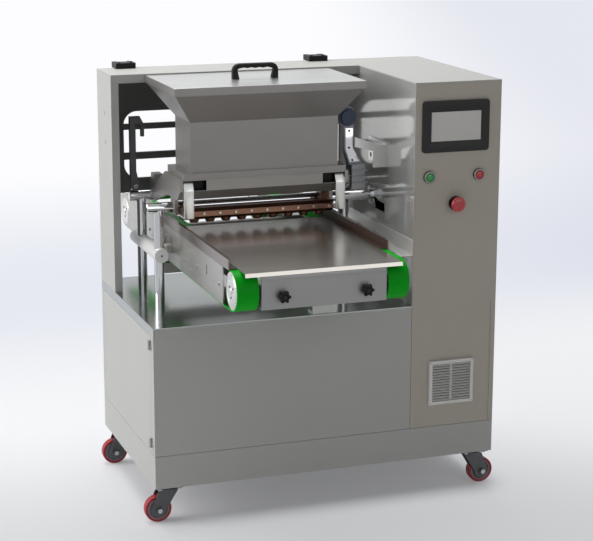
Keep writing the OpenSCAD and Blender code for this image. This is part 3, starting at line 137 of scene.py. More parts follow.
@dataclass(frozen=True)
class Finish:
    """A real material and how its surface was made.

    Attributes:
        name: Common name of the material and surface.
        colour: Mean colour, sRGB hex.
        roughness: Mean roughness.
        metallic: 1 for bare metal, 0 for paint and plastics, between for metal with a dull skin.
        grain: Direction of the fine pattern.
        grain_mm: Width and length of one grain mark.
        swing: Share by which the fine pattern changes the colour.
        rough_swing: Change of roughness over the fine pattern.
        relief_mm: Height of the fine pattern.
        cloud_mm: Size of the broad, soft clouds of handling and wear.
        cloud: Share by which the clouds change the colour.
        coat: Weight of a clear gloss layer.
        shine: Strength of the plain reflection of paint and plastics.
        edge_mm: Radius that folded or cut edges show; 0 leaves them sharp.
    """

    name: str
    colour: str
    roughness: float
    metallic: float = 0.0
    grain: Grain = Grain.SPECKLED
    grain_mm: tuple[float, float] = (2.0, 2.0)
    swing: float = 0.05
    rough_swing: float = 0.05
    relief_mm: float = 0.02
    cloud_mm: float = 160.0
    cloud: float = 0.03
    coat: float = 0.0
    shine: float = 0.5
    edge_mm: float = 0.0

    def mapping_scale(self) -> Point:
        """Work out how often the pattern repeats.

        Returns:
            Repeats per metre along X, Y and Z.
        """
        wide, long = (METRE_IN_MM / size for size in self.grain_mm)
        return {
            Grain.UPRIGHT: (wide, wide, long),
            Grain.ACROSS: (long, wide, wide),
            Grain.DEEP: (wide, long, wide),
            Grain.SPECKLED: (wide, wide, wide),
        }[self.grain]

    def build(self) -> bpy.types.Material:
        """Build the node material.

        Returns:
            The material, with colour, roughness and relief from one fine and one broad pattern.
        """
        material = bpy.data.materials.new(self.name)
        material.use_nodes = True
        tree = material.node_tree
        tree.nodes.clear()
        place = add_node(tree, "ShaderNodeTexCoord").outputs["Object"]
        fine_place = add_node(tree, "ShaderNodeMapping", {"Vector": place, "Scale": self.mapping_scale()})
        fine = add_node(tree, "ShaderNodeTexNoise", {
            "Vector": fine_place.outputs[0], "Scale": 1.0, "Detail": FINE_DETAIL}).outputs["Fac"]
        broad = add_node(tree, "ShaderNodeTexNoise", {
            "Vector": place, "Scale": METRE_IN_MM / self.cloud_mm, "Detail": BROAD_DETAIL}).outputs["Fac"]
        tone = add_node(tree, "ShaderNodeMix", {
            0: fine, 6: shade(self.colour, 1 - self.swing), 7: shade(self.colour, 1 + self.swing)},
            data_type="RGBA").outputs[2]
        cloud = add_node(tree, "ShaderNodeMapRange", {
            "Value": broad, 1: NOISE_LOW, 2: NOISE_HIGH, 3: 1 - self.cloud, 4: 1 + self.cloud}).outputs[0]
        colour = add_node(tree, "ShaderNodeVectorMath", {0: tone, "Scale": cloud}, operation="SCALE")
        gloss = add_node(tree, "ShaderNodeMapRange", {
            "Value": fine, 1: NOISE_LOW, 2: NOISE_HIGH,
            3: max(self.roughness - self.rough_swing, LEAST_ROUGHNESS),
            4: self.roughness + self.rough_swing}).outputs[0]
        relief = {"Height": fine, "Strength": RELIEF_STRENGTH, "Distance": self.relief_mm * MM}
        if self.edge_mm > 0:
            edge = add_node(tree, "ShaderNodeBevel", {"Radius": self.edge_mm * MM}, samples=EDGE_SAMPLES)
            relief["Normal"] = edge.outputs[0]
        bump = add_node(tree, "ShaderNodeBump", relief)
        shader = add_node(tree, "ShaderNodeBsdfPrincipled", {
            "Base Color": colour.outputs[0],
            "Roughness": gloss,
            "Normal": bump.outputs[0],
            "Metallic": self.metallic,
            "Coat Weight": self.coat,
            "Specular IOR Level": self.shine,
        })
        add_node(tree, "ShaderNodeOutputMaterial", {"Surface": shader.outputs[0]})
        return material


# The grain of these metals, paints and plastics is really finer than a millimetre.
# It is drawn as coarse as it needs to show.

# Powder-coated sheet: fine orange peel with no direction, and soft edges where it is folded.
OUTER_SHEET = Finish("powder_coated_sheet", "#a7a7a3", 0.48, grain_mm=(3.0, 3.0), swing=0.015,
                     relief_mm=0.015, cloud_mm=420.0, cloud=0.02, edge_mm=1.5)
# The same coat in a warmer tone.
PANEL_SHEET = replace(OUTER_SHEET, name="powder_coated_panel", colour="#a9a397")
# Pale powder coat: light and dull, so that the gaps between the louvres, over a black mat of painted shade,
# stand out dark.
GRILLE_PAINT = Finish("pale_powder_coated_grille", "#d2d2ce", 0.46, grain_mm=(3.0, 3.0), swing=0.015,
                      relief_mm=0.01, edge_mm=0.6)
# Polished stainless sheet: clear but slightly streaked reflections.
POLISHED_SHEET = Finish("polished_stainless_sheet", "#aeb2af", 0.15, metallic=1.0, grain=Grain.ACROSS,
                        grain_mm=(6.0, 200.0), swing=0.01, rough_swing=0.02, relief_mm=0.0, edge_mm=1.0)
# Mirror-polished wall under a thin dull film: sharp reflections over an even grey.
MIRROR_WALL = Finish("mirror_polished_stainless_wall", "#bcbcb9", 0.09, metallic=0.4, grain=Grain.DEEP,
                     grain_mm=(8.0, 260.0), swing=0.01, rough_swing=0.02, relief_mm=0.0, edge_mm=1.0)
# Satin stainless sheet: soft, blurred reflections with faint upright brush lines.
HOPPER_SHEET = Finish("satin_stainless_hopper", "#8c8986", 0.36, metallic=0.6, grain=Grain.UPRIGHT,
                      grain_mm=(5.0, 160.0), swing=0.01, rough_swing=0.03, relief_mm=0.002, edge_mm=1.0)
# Satin stainless in a lighter copy than the hopper's, painted light on the lid's top: takes the light of the
# room as one pale plane.
LIT_LID_SHEET = Finish("satin_stainless_lid_painted_light", "#d0d0cd", 0.30, metallic=1.0, grain=Grain.ACROSS,
                   grain_mm=(5.0, 200.0), swing=0.01, rough_swing=0.03, relief_mm=0.0)
# Machined steel blocks: dull grey with fine cutter lines.
MACHINED_STEEL = Finish("machined_steel", "#93908c", 0.34, metallic=0.6, grain=Grain.ACROSS,
                        grain_mm=(2.5, 90.0), swing=0.05, rough_swing=0.07, edge_mm=0.8)
# Satin plate: even grey with long, faint lines across.
FRONT_PLATE = Finish("satin_steel_plate", "#969694", 0.40, metallic=0.7, grain=Grain.ACROSS,
                     grain_mm=(3.0, 120.0), swing=0.015, rough_swing=0.03, relief_mm=0.004, edge_mm=0.8)
# Steel in a brown tone: dark, warm and glossy.
NOZZLE_STEEL = Finish("machined_bronze_toned_steel", "#77594a", 0.28, metallic=1.0, grain=Grain.ACROSS,
                      grain_mm=(2.5, 90.0), swing=0.06, rough_swing=0.06, edge_mm=0.8)
# Ground and chromed bar: almost a mirror.
CHROMED_BAR = Finish("chromed_bar", "#d9dadc", 0.09, metallic=1.0, swing=0.02, rough_swing=0.03,
                     relief_mm=0.003)
# Phosphated steel: dark grey with a dull, slightly cloudy skin.
DARK_COAT = Finish("dark_phosphated_steel", "#565758", 0.46, metallic=0.35, grain_mm=(2.5, 2.5), swing=0.10,
                   rough_swing=0.08, relief_mm=0.03, cloud=0.06, edge_mm=0.6)
# Dark paint: even and half-dull.
GUARD_COAT = Finish("dark_grey_painted_guard", "#6b6b69", 0.45, grain_mm=(3.0, 3.0), swing=0.04)
# Moulded ABS: fine spark-eroded texture that takes the shine off.
BLACK_ABS = Finish("moulded_black_abs", "#0b0b0c", 0.40, grain_mm=(1.6, 1.6), swing=0.12, rough_swing=0.08,
                   shine=0.18, edge_mm=0.6)
# Matt black frame: warmer and duller than the moulded grips.
BEZEL_ABS = Finish("matt_black_panel_frame", "#211f1e", 0.50, grain_mm=(1.6, 1.6), swing=0.06, relief_mm=0.01,
                   shine=0.3)
# Display glass with no light behind it: a flat pale grey under a clear gloss.
UNLIT_SCREEN = Finish("unlit_display_glass", "#c6c4be", 0.12, grain_mm=(6.0, 6.0), swing=0.01,
                      rough_swing=0.02, relief_mm=0.0, cloud_mm=90.0, cloud=0.02, coat=0.4)
# Moulded caps: strong colour under a clear gloss.
GREEN_CAP = Finish("moulded_green_cap", "#1c9440", 0.20, swing=0.06, coat=0.5)
RED_CAP = replace(GREEN_CAP, name="moulded_red_cap", colour="#b3262b", roughness=0.22)
# Cast polyurethane tread: even colour, dull shine, small scuffs.
RED_TREAD = Finish("red_polyurethane_tread", "#93111a", 0.36, grain_mm=(3.0, 3.0), swing=0.10,
                   rough_swing=0.10, relief_mm=0.06, cloud_mm=30.0, cloud=0.10)
# Moulded nylon: plain cool grey, slightly speckled.
WHEEL_CORE = Finish("grey_nylon_wheel_core", "#7d7e87", 0.42, swing=0.08, relief_mm=0.03)
# PVC belting: strong, flat green with faint streaks along its travel.
GREEN_BELT = Finish("green_pvc_belting", "#0a9a1b", 0.36, grain=Grain.DEEP, grain_mm=(5.0, 120.0), swing=0.04,
                    rough_swing=0.04, relief_mm=0.01, shine=0.06)
# Phenolic strip: dull, warm and dark.
WEAR_STRIP = Finish("brown_phenolic_strip", "#3d2d26", 0.34, grain=Grain.DEEP, grain_mm=(2.0, 60.0),
                    swing=0.08, relief_mm=0.01, shine=0.4)
# Cast aluminium: grey and slightly pitted.
CAST_GREY = Finish("cast_aluminium", "#868789", 0.42, metallic=0.8, grain_mm=(1.8, 1.8), swing=0.08,
                   rough_swing=0.08, relief_mm=0.05, edge_mm=0.8)
# Enamel: deep blue with a little gloss.
MOTOR_PAINT = Finish("dark_blue_enamel", "#0f2745", 0.36, swing=0.08, coat=0.1)
# Bead-blasted and anodised plate: even, slightly warm grey with long fine drag lines.
ANODISED_PLATE = Finish("anodised_aluminium_plate", "#b0aea8", 0.24, metallic=0.85, grain=Grain.DEEP,
                        grain_mm=(4.0, 200.0), swing=0.02, rough_swing=0.04, relief_mm=0.004, edge_mm=0.8)
# Clear anodised aluminium: almost white, with a soft sheen.
CLEAR_ANODISED = Finish("clear_anodised_aluminium", "#e4e4e1", 0.34, metallic=0.3, swing=0.02,
                        rough_swing=0.04, relief_mm=0.004, edge_mm=0.8)
# Turned aluminium: bright, with small marks of the tool.
TURNED_ALUMINIUM = Finish("turned_aluminium", "#d8d8d5", 0.28, metallic=0.7, swing=0.04, rough_swing=0.06,
                          edge_mm=0.8)
# Rolled aluminium sheet: smooth, blurred reflections with the faintest streaks of rolling.
TRAY_SHEET = Finish("rolled_aluminium_tray", "#bdb9b2", 0.24, metallic=0.95, grain=Grain.DEEP,
                    grain_mm=(12.0, 600.0), swing=0.004, rough_swing=0.008, relief_mm=0.0, cloud_mm=120.0,
                    cloud=0.01)
# Bright cold-drawn strip: clear, soft highlights.
BRIGHT_STRIP = Finish("bright_drawn_steel_strip", "#d9d9d6", 0.22, metallic=0.9, grain=Grain.UPRIGHT,
                      grain_mm=(3.0, 60.0), swing=0.03, rough_swing=0.04, relief_mm=0.0)
# Polished guide rail: darker, with streaks along the travel.
GUIDE_RAIL = Finish("polished_steel_rail", "#948b84", 0.20, metallic=1.0, grain=Grain.DEEP,
                    grain_mm=(4.0, 200.0), swing=0.03, rough_swing=0.04, relief_mm=0.0, edge_mm=0.6)
# Zinc-plated and black-oxide screws: small bright and small dark points.
ZINC_SCREW = Finish("zinc_plated_screw", "#b9bab8", 0.28, metallic=1.0, grain_mm=(1.0, 1.0))
BLACK_SCREW = Finish("black_oxide_screw", "#2a2a2b", 0.35, metallic=0.6, grain_mm=(1.0, 1.0), swing=0.08)
# Matt studio floor: plain and pale, with hardly any pattern.
STUDIO_FLOOR = Finish("matt_studio_floor", "#e4e4e7", 0.6, grain_mm=(60.0, 60.0), swing=0.004, relief_mm=0.0,
                      cloud_mm=2500.0, cloud=0.01)

CAD_FINISHES: dict[Finish, tuple[str, ...]] = {
    OUTER_SHEET: ("base_pan", "front_panel", "rear_panel", "side_door", "cabinet_outer_wall", "cabinet_back",
                  "cabinet_top", "left_column", "gantry_beam"),
    GRILLE_PAINT: ("vent_grille", "stop_bracket"),
    PANEL_SHEET: ("cabinet_front",),
    POLISHED_SHEET: ("deck_plate",),
    MIRROR_WALL: ("cabinet_inner_wall",),
    HOPPER_SHEET: ("hopper", "hopper_lid"),
    MACHINED_STEEL: ("head_housing", "head_carriers", "front_roller", "rear_roller", "lift_frame",
                     "belt_bed"),
    FRONT_PLATE: ("front_frame",),
    NOZZLE_STEEL: ("nozzle_bar",),
    CHROMED_BAR: ("guide_posts", "cross_shafts"),
    DARK_COAT: ("castor_plates", "front_left_fork", "front_right_fork", "rear_left_fork", "rear_right_fork",
                "hook_lever", "lift_actuator", "conveyor_motor"),
    GUARD_COAT: ("rear_guard",),
    BLACK_ABS: ("button_collars", "guard_hinges", "lid_handle", "left_knob", "right_knob"),
    BEZEL_ABS: ("display_bezel",),
    UNLIT_SCREEN: ("display_screen",),
    GREEN_CAP: ("green_button",),
    RED_CAP: ("red_button", "stop_button"),
    RED_TREAD: ("front_left_wheel", "front_right_wheel", "rear_left_wheel", "rear_right_wheel"),
    GREEN_BELT: ("belts",),
    CAST_GREY: ("gearbox",),
    BRIGHT_STRIP: ("motor_bracket",),
    MOTOR_PAINT: ("motor",),
    ANODISED_PLATE: ("side_plates",),
    GUIDE_RAIL: ("tray_guides",),
    CLEAR_ANODISED: ("lift_bars", "side_shelf"),
    TURNED_ALUMINIUM: ("front_pulleys", "rear_pulleys"),
    TRAY_SHEET: ("tray",),
}

_built: dict[Finish, bpy.types.Material] = {}


def material_of(finish: Finish) -> bpy.types.Material:
    """Return a finish's material, built once.

    Args:
        finish: The finish.

    Returns:
        Its material.
    """
    if finish not in _built:
        _built[finish] = finish.build()
    return _built[finish]


# Mesh helpers


def node_box(name: str) -> tuple[Vector, Vector]:
    """Return the lowest and highest corner of a CAD node."""
    low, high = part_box(name)
    return Vector(low), Vector(high)


class Ends(Enum):
    """How a loft is closed."""

    CAPPED = "a face on the first and the last loop"
    RING = "the last loop joined to the first"


def loft(loops: list[Loop], ends: Ends = Ends.CAPPED) -> bmesh.types.BMesh:
    """Skin a row of closed loops that have the same number of points.

    Args:
        loops: Closed loops in order.
        ends: How the skin is closed.

    Returns:
        A closed mesh with its faces outwards.
    """
    mesh = bmesh.new()
    rows = [[mesh.verts.new(point) for point in loop] for loop in loops]
    count = len(rows[0])
    following = rows[1:] + (rows[:1] if ends is Ends.RING else [])
    for one, two in zip(rows, following):
        for i in range(count):
            j = (i + 1) % count
            mesh.faces.new((one[i], one[j], two[j], two[i]))
    if ends is Ends.CAPPED:
        mesh.faces.new(rows[0])
        mesh.faces.new(rows[-1])
    bmesh.ops.recalc_face_normals(mesh, faces=mesh.faces)
    return mesh


def extrude(outline: Outline, x_low: float, x_high: float, edge: float) -> bmesh.types.BMesh:
    """Carry an outline in Y and Z along X and round its edges.

    Args:
        outline: Points of Y and Z in order.
        x_low: Where the piece starts.
        x_high: Where it ends.
        edge: Radius of its edges.

    Returns:
        A closed mesh with its faces outwards.
    """
    mesh = loft([[Vector((x, y, z)) for y, z in outline] for x in (x_low, x_high)])
    bmesh.ops.bevel(mesh, geom=mesh.edges[:], offset=edge, segments=EDGE_SEGMENTS, profile=ROUND_PROFILE,
                    affect="EDGES", clamp_overlap=True)
    bmesh.ops.recalc_face_normals(mesh, faces=mesh.faces)
    return mesh


def lathe(profile: Outline, centre: Vector, axis: Vector, steps: int = 48) -> bmesh.types.BMesh:
    """Turn a profile round an axis.

    Args:
        profile: Pairs of radius and distance along the axis; it runs from axis to axis, or round a ring.
        centre: Point on the axis where the distance is 0.
        axis: Direction of the axis.
        steps: Number of segments round the axis.

    Returns:
        A closed mesh with its faces outwards.
    """
    along = axis.normalized()
    side = along.orthogonal().normalized()
    third = along.cross(side)
    loops = []
    for radius, reach in profile:
        ring = []
        for i in range(steps):
            angle = 2 * math.pi * i / steps
            ring.append(centre + along * reach + (side * math.cos(angle) + third * math.sin(angle)) * radius)
        loops.append(ring)
    mesh = loft(loops, Ends.CAPPED if profile[0][0] == 0 else Ends.RING)
    bmesh.ops.remove_doubles(mesh, verts=mesh.verts, dist=MERGE_GAP)
    bmesh.ops.recalc_face_normals(mesh, faces=mesh.faces)
    return mesh


def rounded_loop(centre: Vector, wide: Vector, tall: Vector, width: float, height: float, radius: float,
                 steps: int = 6) -> Loop:
    """Return a rectangle with round corners as a closed loop of points.

    Args:
        centre: Middle of the rectangle.
        wide: Unit direction of the width.
        tall: Unit direction of the height.
        width: Whole width.
        height: Whole height.
        radius: Corner radius.
        steps: Segments in each corner.

    Returns:
        The points in order.
    """
    points = []
    for quarter, (sx, sy) in enumerate(((1, 1), (-1, 1), (-1, -1), (1, -1))):
        for i in range(steps + 1):
            angle = math.pi / 2 * (quarter + i / steps)
            x = sx * (width / 2 - radius) + radius * math.cos(angle)
            y = sy * (height / 2 - radius) + radius * math.sin(angle)
            points.append(centre + wide * x + tall * y)
    return points


def carry(name: str, data: bpy.types.Mesh, finish: Finish, body: str,
          smooth_angle: float = SMOOTH_ANGLE) -> bpy.types.Object:
    """Make an object of mesh data, give it its finish and let it ride on a body.

    Args:
        name: Name of the piece.
        data: Mesh with its place in its vertices and no material.
        finish: Finish of the piece.
        body: CAD body that carries it.
        smooth_angle: Largest angle in degrees between faces that shade smoothly.

    Returns:
        The new object.
    """
    data.materials.append(material_of(finish))
    data.shade_smooth()
    data.set_sharp_from_angle(angle=math.radians(smooth_angle))
    piece = bpy.data.objects.new(name, data)
    bpy.context.scene.collection.objects.link(piece)
    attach(piece, body)
    LOG.info("piece %s on %s, %d faces", name, body, len(data.polygons))
    return piece


def settle(name: str, mesh: bmesh.types.BMesh, finish: Finish, body: str,
           smooth_angle: float = SMOOTH_ANGLE) -> bpy.types.Object:
    """Make a riding object of a mesh under construction.

    Args:
        name: Name of the piece.
        mesh: Mesh with its place in its vertices; it is freed.
        finish: Finish of the piece.
        body: CAD body that carries it.
        smooth_angle: Largest angle in degrees between faces that shade smoothly.

    Returns:
        The new object.
    """
    data = bpy.data.meshes.new(name)
    mesh.to_mesh(data)
    mesh.free()
    return carry(name, data, finish, body, smooth_angle)


# Repeated parts, made by node trees


class Pattern(Enum):
    """Node trees that repeat a small part over points."""

    SCREWS = "socket_head_screws"
    FINS = "stacked_fins"


HEAD_SIDES = 20
SOCKET_SIDES = 6
SOCKET_SHARE = 0.55
FIN_SIDES = 40


def one_screw(tree: bpy.types.NodeTree, radius: Socket, height: Socket) -> Socket:
    """Make a round screw head with a hexagon socket.

    Args:
        tree: Node tree that takes the nodes.
        radius: Radius of the head.
        height: Height of the head.

    Returns:
        The screw's geometry.
    """
    inner, rise = (
        add_node(tree, "ShaderNodeMath", {0: size, 1: SOCKET_SHARE}, operation="MULTIPLY").outputs[0]
        for size in (radius, height))
    head, socket = (
        add_node(tree, "GeometryNodeMeshCylinder", {"Vertices": sides, "Radius": reach, "Depth": height})
        for sides, reach in ((HEAD_SIDES, radius), (SOCKET_SIDES, inner)))
    lift = add_node(tree, "ShaderNodeCombineXYZ", {"Z": rise})
    raised = add_node(tree, "GeometryNodeTransform", {
        "Geometry": socket.outputs["Mesh"], "Translation": lift.outputs[0]})
    cut = add_node(tree, "GeometryNodeMeshBoolean", {
        "Mesh 1": head.outputs["Mesh"], "Mesh 2": raised.outputs[0]}, operation="DIFFERENCE")
    return cut.outputs["Mesh"]


def one_fin(tree: bpy.types.NodeTree, radius: Socket, height: Socket) -> Socket:
    """Return a round fin."""
    sizes = {"Vertices": FIN_SIDES, "Radius": radius, "Depth": height}
    return add_node(tree, "GeometryNodeMeshCylinder", sizes).outputs["Mesh"]


def repeat_tree(pattern: Pattern) -> tuple[bpy.types.GeometryNodeTree, dict[str, str]]:
    """Build the node tree that sets one part of a pattern on every point of a mesh.

    Args:
        pattern: Which part.

    Returns:
        The tree, and its input names with their socket identifiers.
    """
    tree = bpy.data.node_groups.new(pattern.value, "GeometryNodeTree")
    names: dict[str, str] = {}
    tree.interface.new_socket("Geometry", in_out="INPUT", socket_type="NodeSocketGeometry")
    for name, kind in (("Radius", "NodeSocketFloat"), ("Height", "NodeSocketFloat"),
                       ("Turn", "NodeSocketVector"), ("Finish", "NodeSocketMaterial")):
        names[name] = tree.interface.new_socket(name, in_out="INPUT", socket_type=kind).identifier
    tree.interface.new_socket("Geometry", in_out="OUTPUT", socket_type="NodeSocketGeometry")
    given = add_node(tree, "NodeGroupInput").outputs
    maker = {Pattern.SCREWS: one_screw, Pattern.FINS: one_fin}[pattern]
    parts = add_node(tree, "GeometryNodeInstanceOnPoints", {
        "Points": given["Geometry"], "Instance": maker(tree, given["Radius"], given["Height"]),
        "Rotation": given["Turn"]})
    real = add_node(tree, "GeometryNodeRealizeInstances", {"Geometry": parts.outputs[0]})
    dressed = add_node(tree, "GeometryNodeSetMaterial", {
        "Geometry": real.outputs[0], "Material": given["Finish"]})
    add_node(tree, "NodeGroupOutput", {"Geometry": dressed.outputs[0]})
    return tree, names


_trees: dict[Pattern, tuple[bpy.types.GeometryNodeTree, dict[str, str]]] = {}


def repeat(name: str, pattern: Pattern, points: Loop, axis: Vector, radius: float, height: float,
           finish: Finish, body: str) -> None:
    """Set a small part on each point by a node tree and keep the result as one plain mesh.

    Args:
        name: Name of the piece.
        pattern: Which node tree makes it.
        points: Middle of each part.
        axis: Direction that the parts face.
        radius: Radius of one part.
        height: Height of one part.
        finish: Finish of the parts.
        body: CAD body that carries them.
    """
    if pattern not in _trees:
        _trees[pattern] = repeat_tree(pattern)
    tree, names = _trees[pattern]
    seed = bpy.data.meshes.new(f"{name}_points")
    seed.from_pydata([tuple(point) for point in points], [], [])
    holder = bpy.data.objects.new(f"{name}_points", seed)
    bpy.context.scene.collection.objects.link(holder)
    modifier = holder.modifiers.new("repeat", "NODES")
    modifier.node_group = tree
    modifier[names["Radius"]] = radius
    modifier[names["Height"]] = height
    modifier[names["Turn"]] = tuple(Z_AXIS.rotation_difference(axis).to_euler())
    modifier[names["Finish"]] = material_of(finish)
    graph = bpy.context.evaluated_depsgraph_get()
    data = bpy.data.meshes.new_from_object(holder.evaluated_get(graph))
    data.name = name
    holder.modifiers.clear()
    bpy.data.objects.remove(holder)
    data.materials.clear()
    carry(name, data, finish, body)


def screws(name: str, points: Loop, axis: Vector, radius: float, height: float, finish: Finish,
           body: str) -> None:
    """Set a socket-head screw on each point, in the given finish.

    Args:
        name: Name of the piece.
        points: Middle of each head.
        axis: Direction that the heads face.
        radius: Radius of a head.
        height: Height of a head.
        finish: Finish of the screws.
        body: CAD body that carries them.
    """
    repeat(name, Pattern.SCREWS, points, axis, radius, height, finish, body)


# Sub-assemblies


@dataclass
class Castors:
    """Wheels, axle bolts and plate bolts of the four castors."""

    tread_depth: float = 8 * MM
    tread_round: float = 4 * MM
    tread_steps: int = 6
    hub_radius: float = 13 * MM
    hub_edge: float = 1 * MM
    hub_taper: float = 0.5 * MM
    core_sink: float = 4 * MM
    core_land: float = 3 * MM
    core_slope: float = 2 * MM
    axle_bore: float = 5.1 * MM
    wheel_steps: int = 64
    bolt_radius: float = 6 * MM
    bolt_height: float = 5 * MM
    bolt_inset: float = 10 * MM
    plate_side: float = 75 * MM
    plate_thick: float = 4 * MM
    axle_radius: float = 6.5 * MM
    axle_height: float = 3 * MM
    corners: tuple[str, ...] = ("front_left", "front_right", "rear_left", "rear_right")

    def build(self) -> None:
        """Build and dress all four castors."""
        for corner in self.corners:
            self.wheel(corner)
            self.axle(corner)
        self.bolts()

    def wheel(self, corner: str) -> None:
        """Replace one plain wheel by a tread on a webbed core.

        Args:
            corner: Which castor.
        """
        body = f"{corner}_wheel"
        low, high = node_box(body)
        middle = (low + high) / 2
        radius = (high.z - low.z) / 2
        half = (high.y - low.y) / 2
        inner = radius - self.tread_depth
        edge = self.tread_round
        rim = [(inner, -half + edge / 2)]
        for i in range(self.tread_steps + 1):
            angle = math.pi / 2 * (1 - i / self.tread_steps)
            rim.append((radius - edge + edge * math.cos(angle), -half + edge - edge * math.sin(angle)))
        rim += [(r, -y) for r, y in reversed(rim)]
        tread = lathe(rim, middle, Y_AXIS, self.wheel_steps)
        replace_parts(settle(f"{corner}_tread", tread, RED_TREAD, body), body)
        face = half - edge / 2
        web = face - self.core_sink
        hub = self.hub_radius + self.hub_edge
        land = inner - self.core_land
        side = [(self.axle_bore, half), (self.hub_radius, half), (hub, half - self.hub_edge),
                (hub + self.hub_taper, web), (land - self.core_slope, web), (land, face), (inner, face)]
        core = lathe([(r, -y) for r, y in side] + side[::-1], middle, Y_AXIS, self.wheel_steps)
        settle(f"{corner}_core", core, WHEEL_CORE, body)

    def axle(self, corner: str) -> None:
        """Set a bright bolt head on the front end of one axle.

        Args:
            corner: Which castor.
        """
        fork_low, _ = node_box(f"{corner}_fork")
        low, high = node_box(f"{corner}_wheel")
        place = Vector(((low.x + high.x) / 2, fork_low.y - self.axle_height / 2, (low.z + high.z) / 2))
        screws(f"{corner}_axle_bolt", [place], -Y_AXIS, self.axle_radius, self.axle_height, ZINC_SCREW,
               f"{corner}_fork")

    def bolts(self) -> None:
        """Set a bolt head under each corner of the top plates."""
        low, high = node_box("castor_plates")
        near, far = self.bolt_inset, self.plate_side - self.bolt_inset
        z = high.z - self.plate_thick - self.bolt_height / 2
        points = [Vector((x, y, z)) for x in (low.x + near, low.x + far, high.x - far, high.x - near)
                  for y in (low.y + near, low.y + far, high.y - far, high.y - near)]
        screws("castor_bolts", points, -Z_AXIS, self.bolt_radius, self.bolt_height, ZINC_SCREW, "frame")


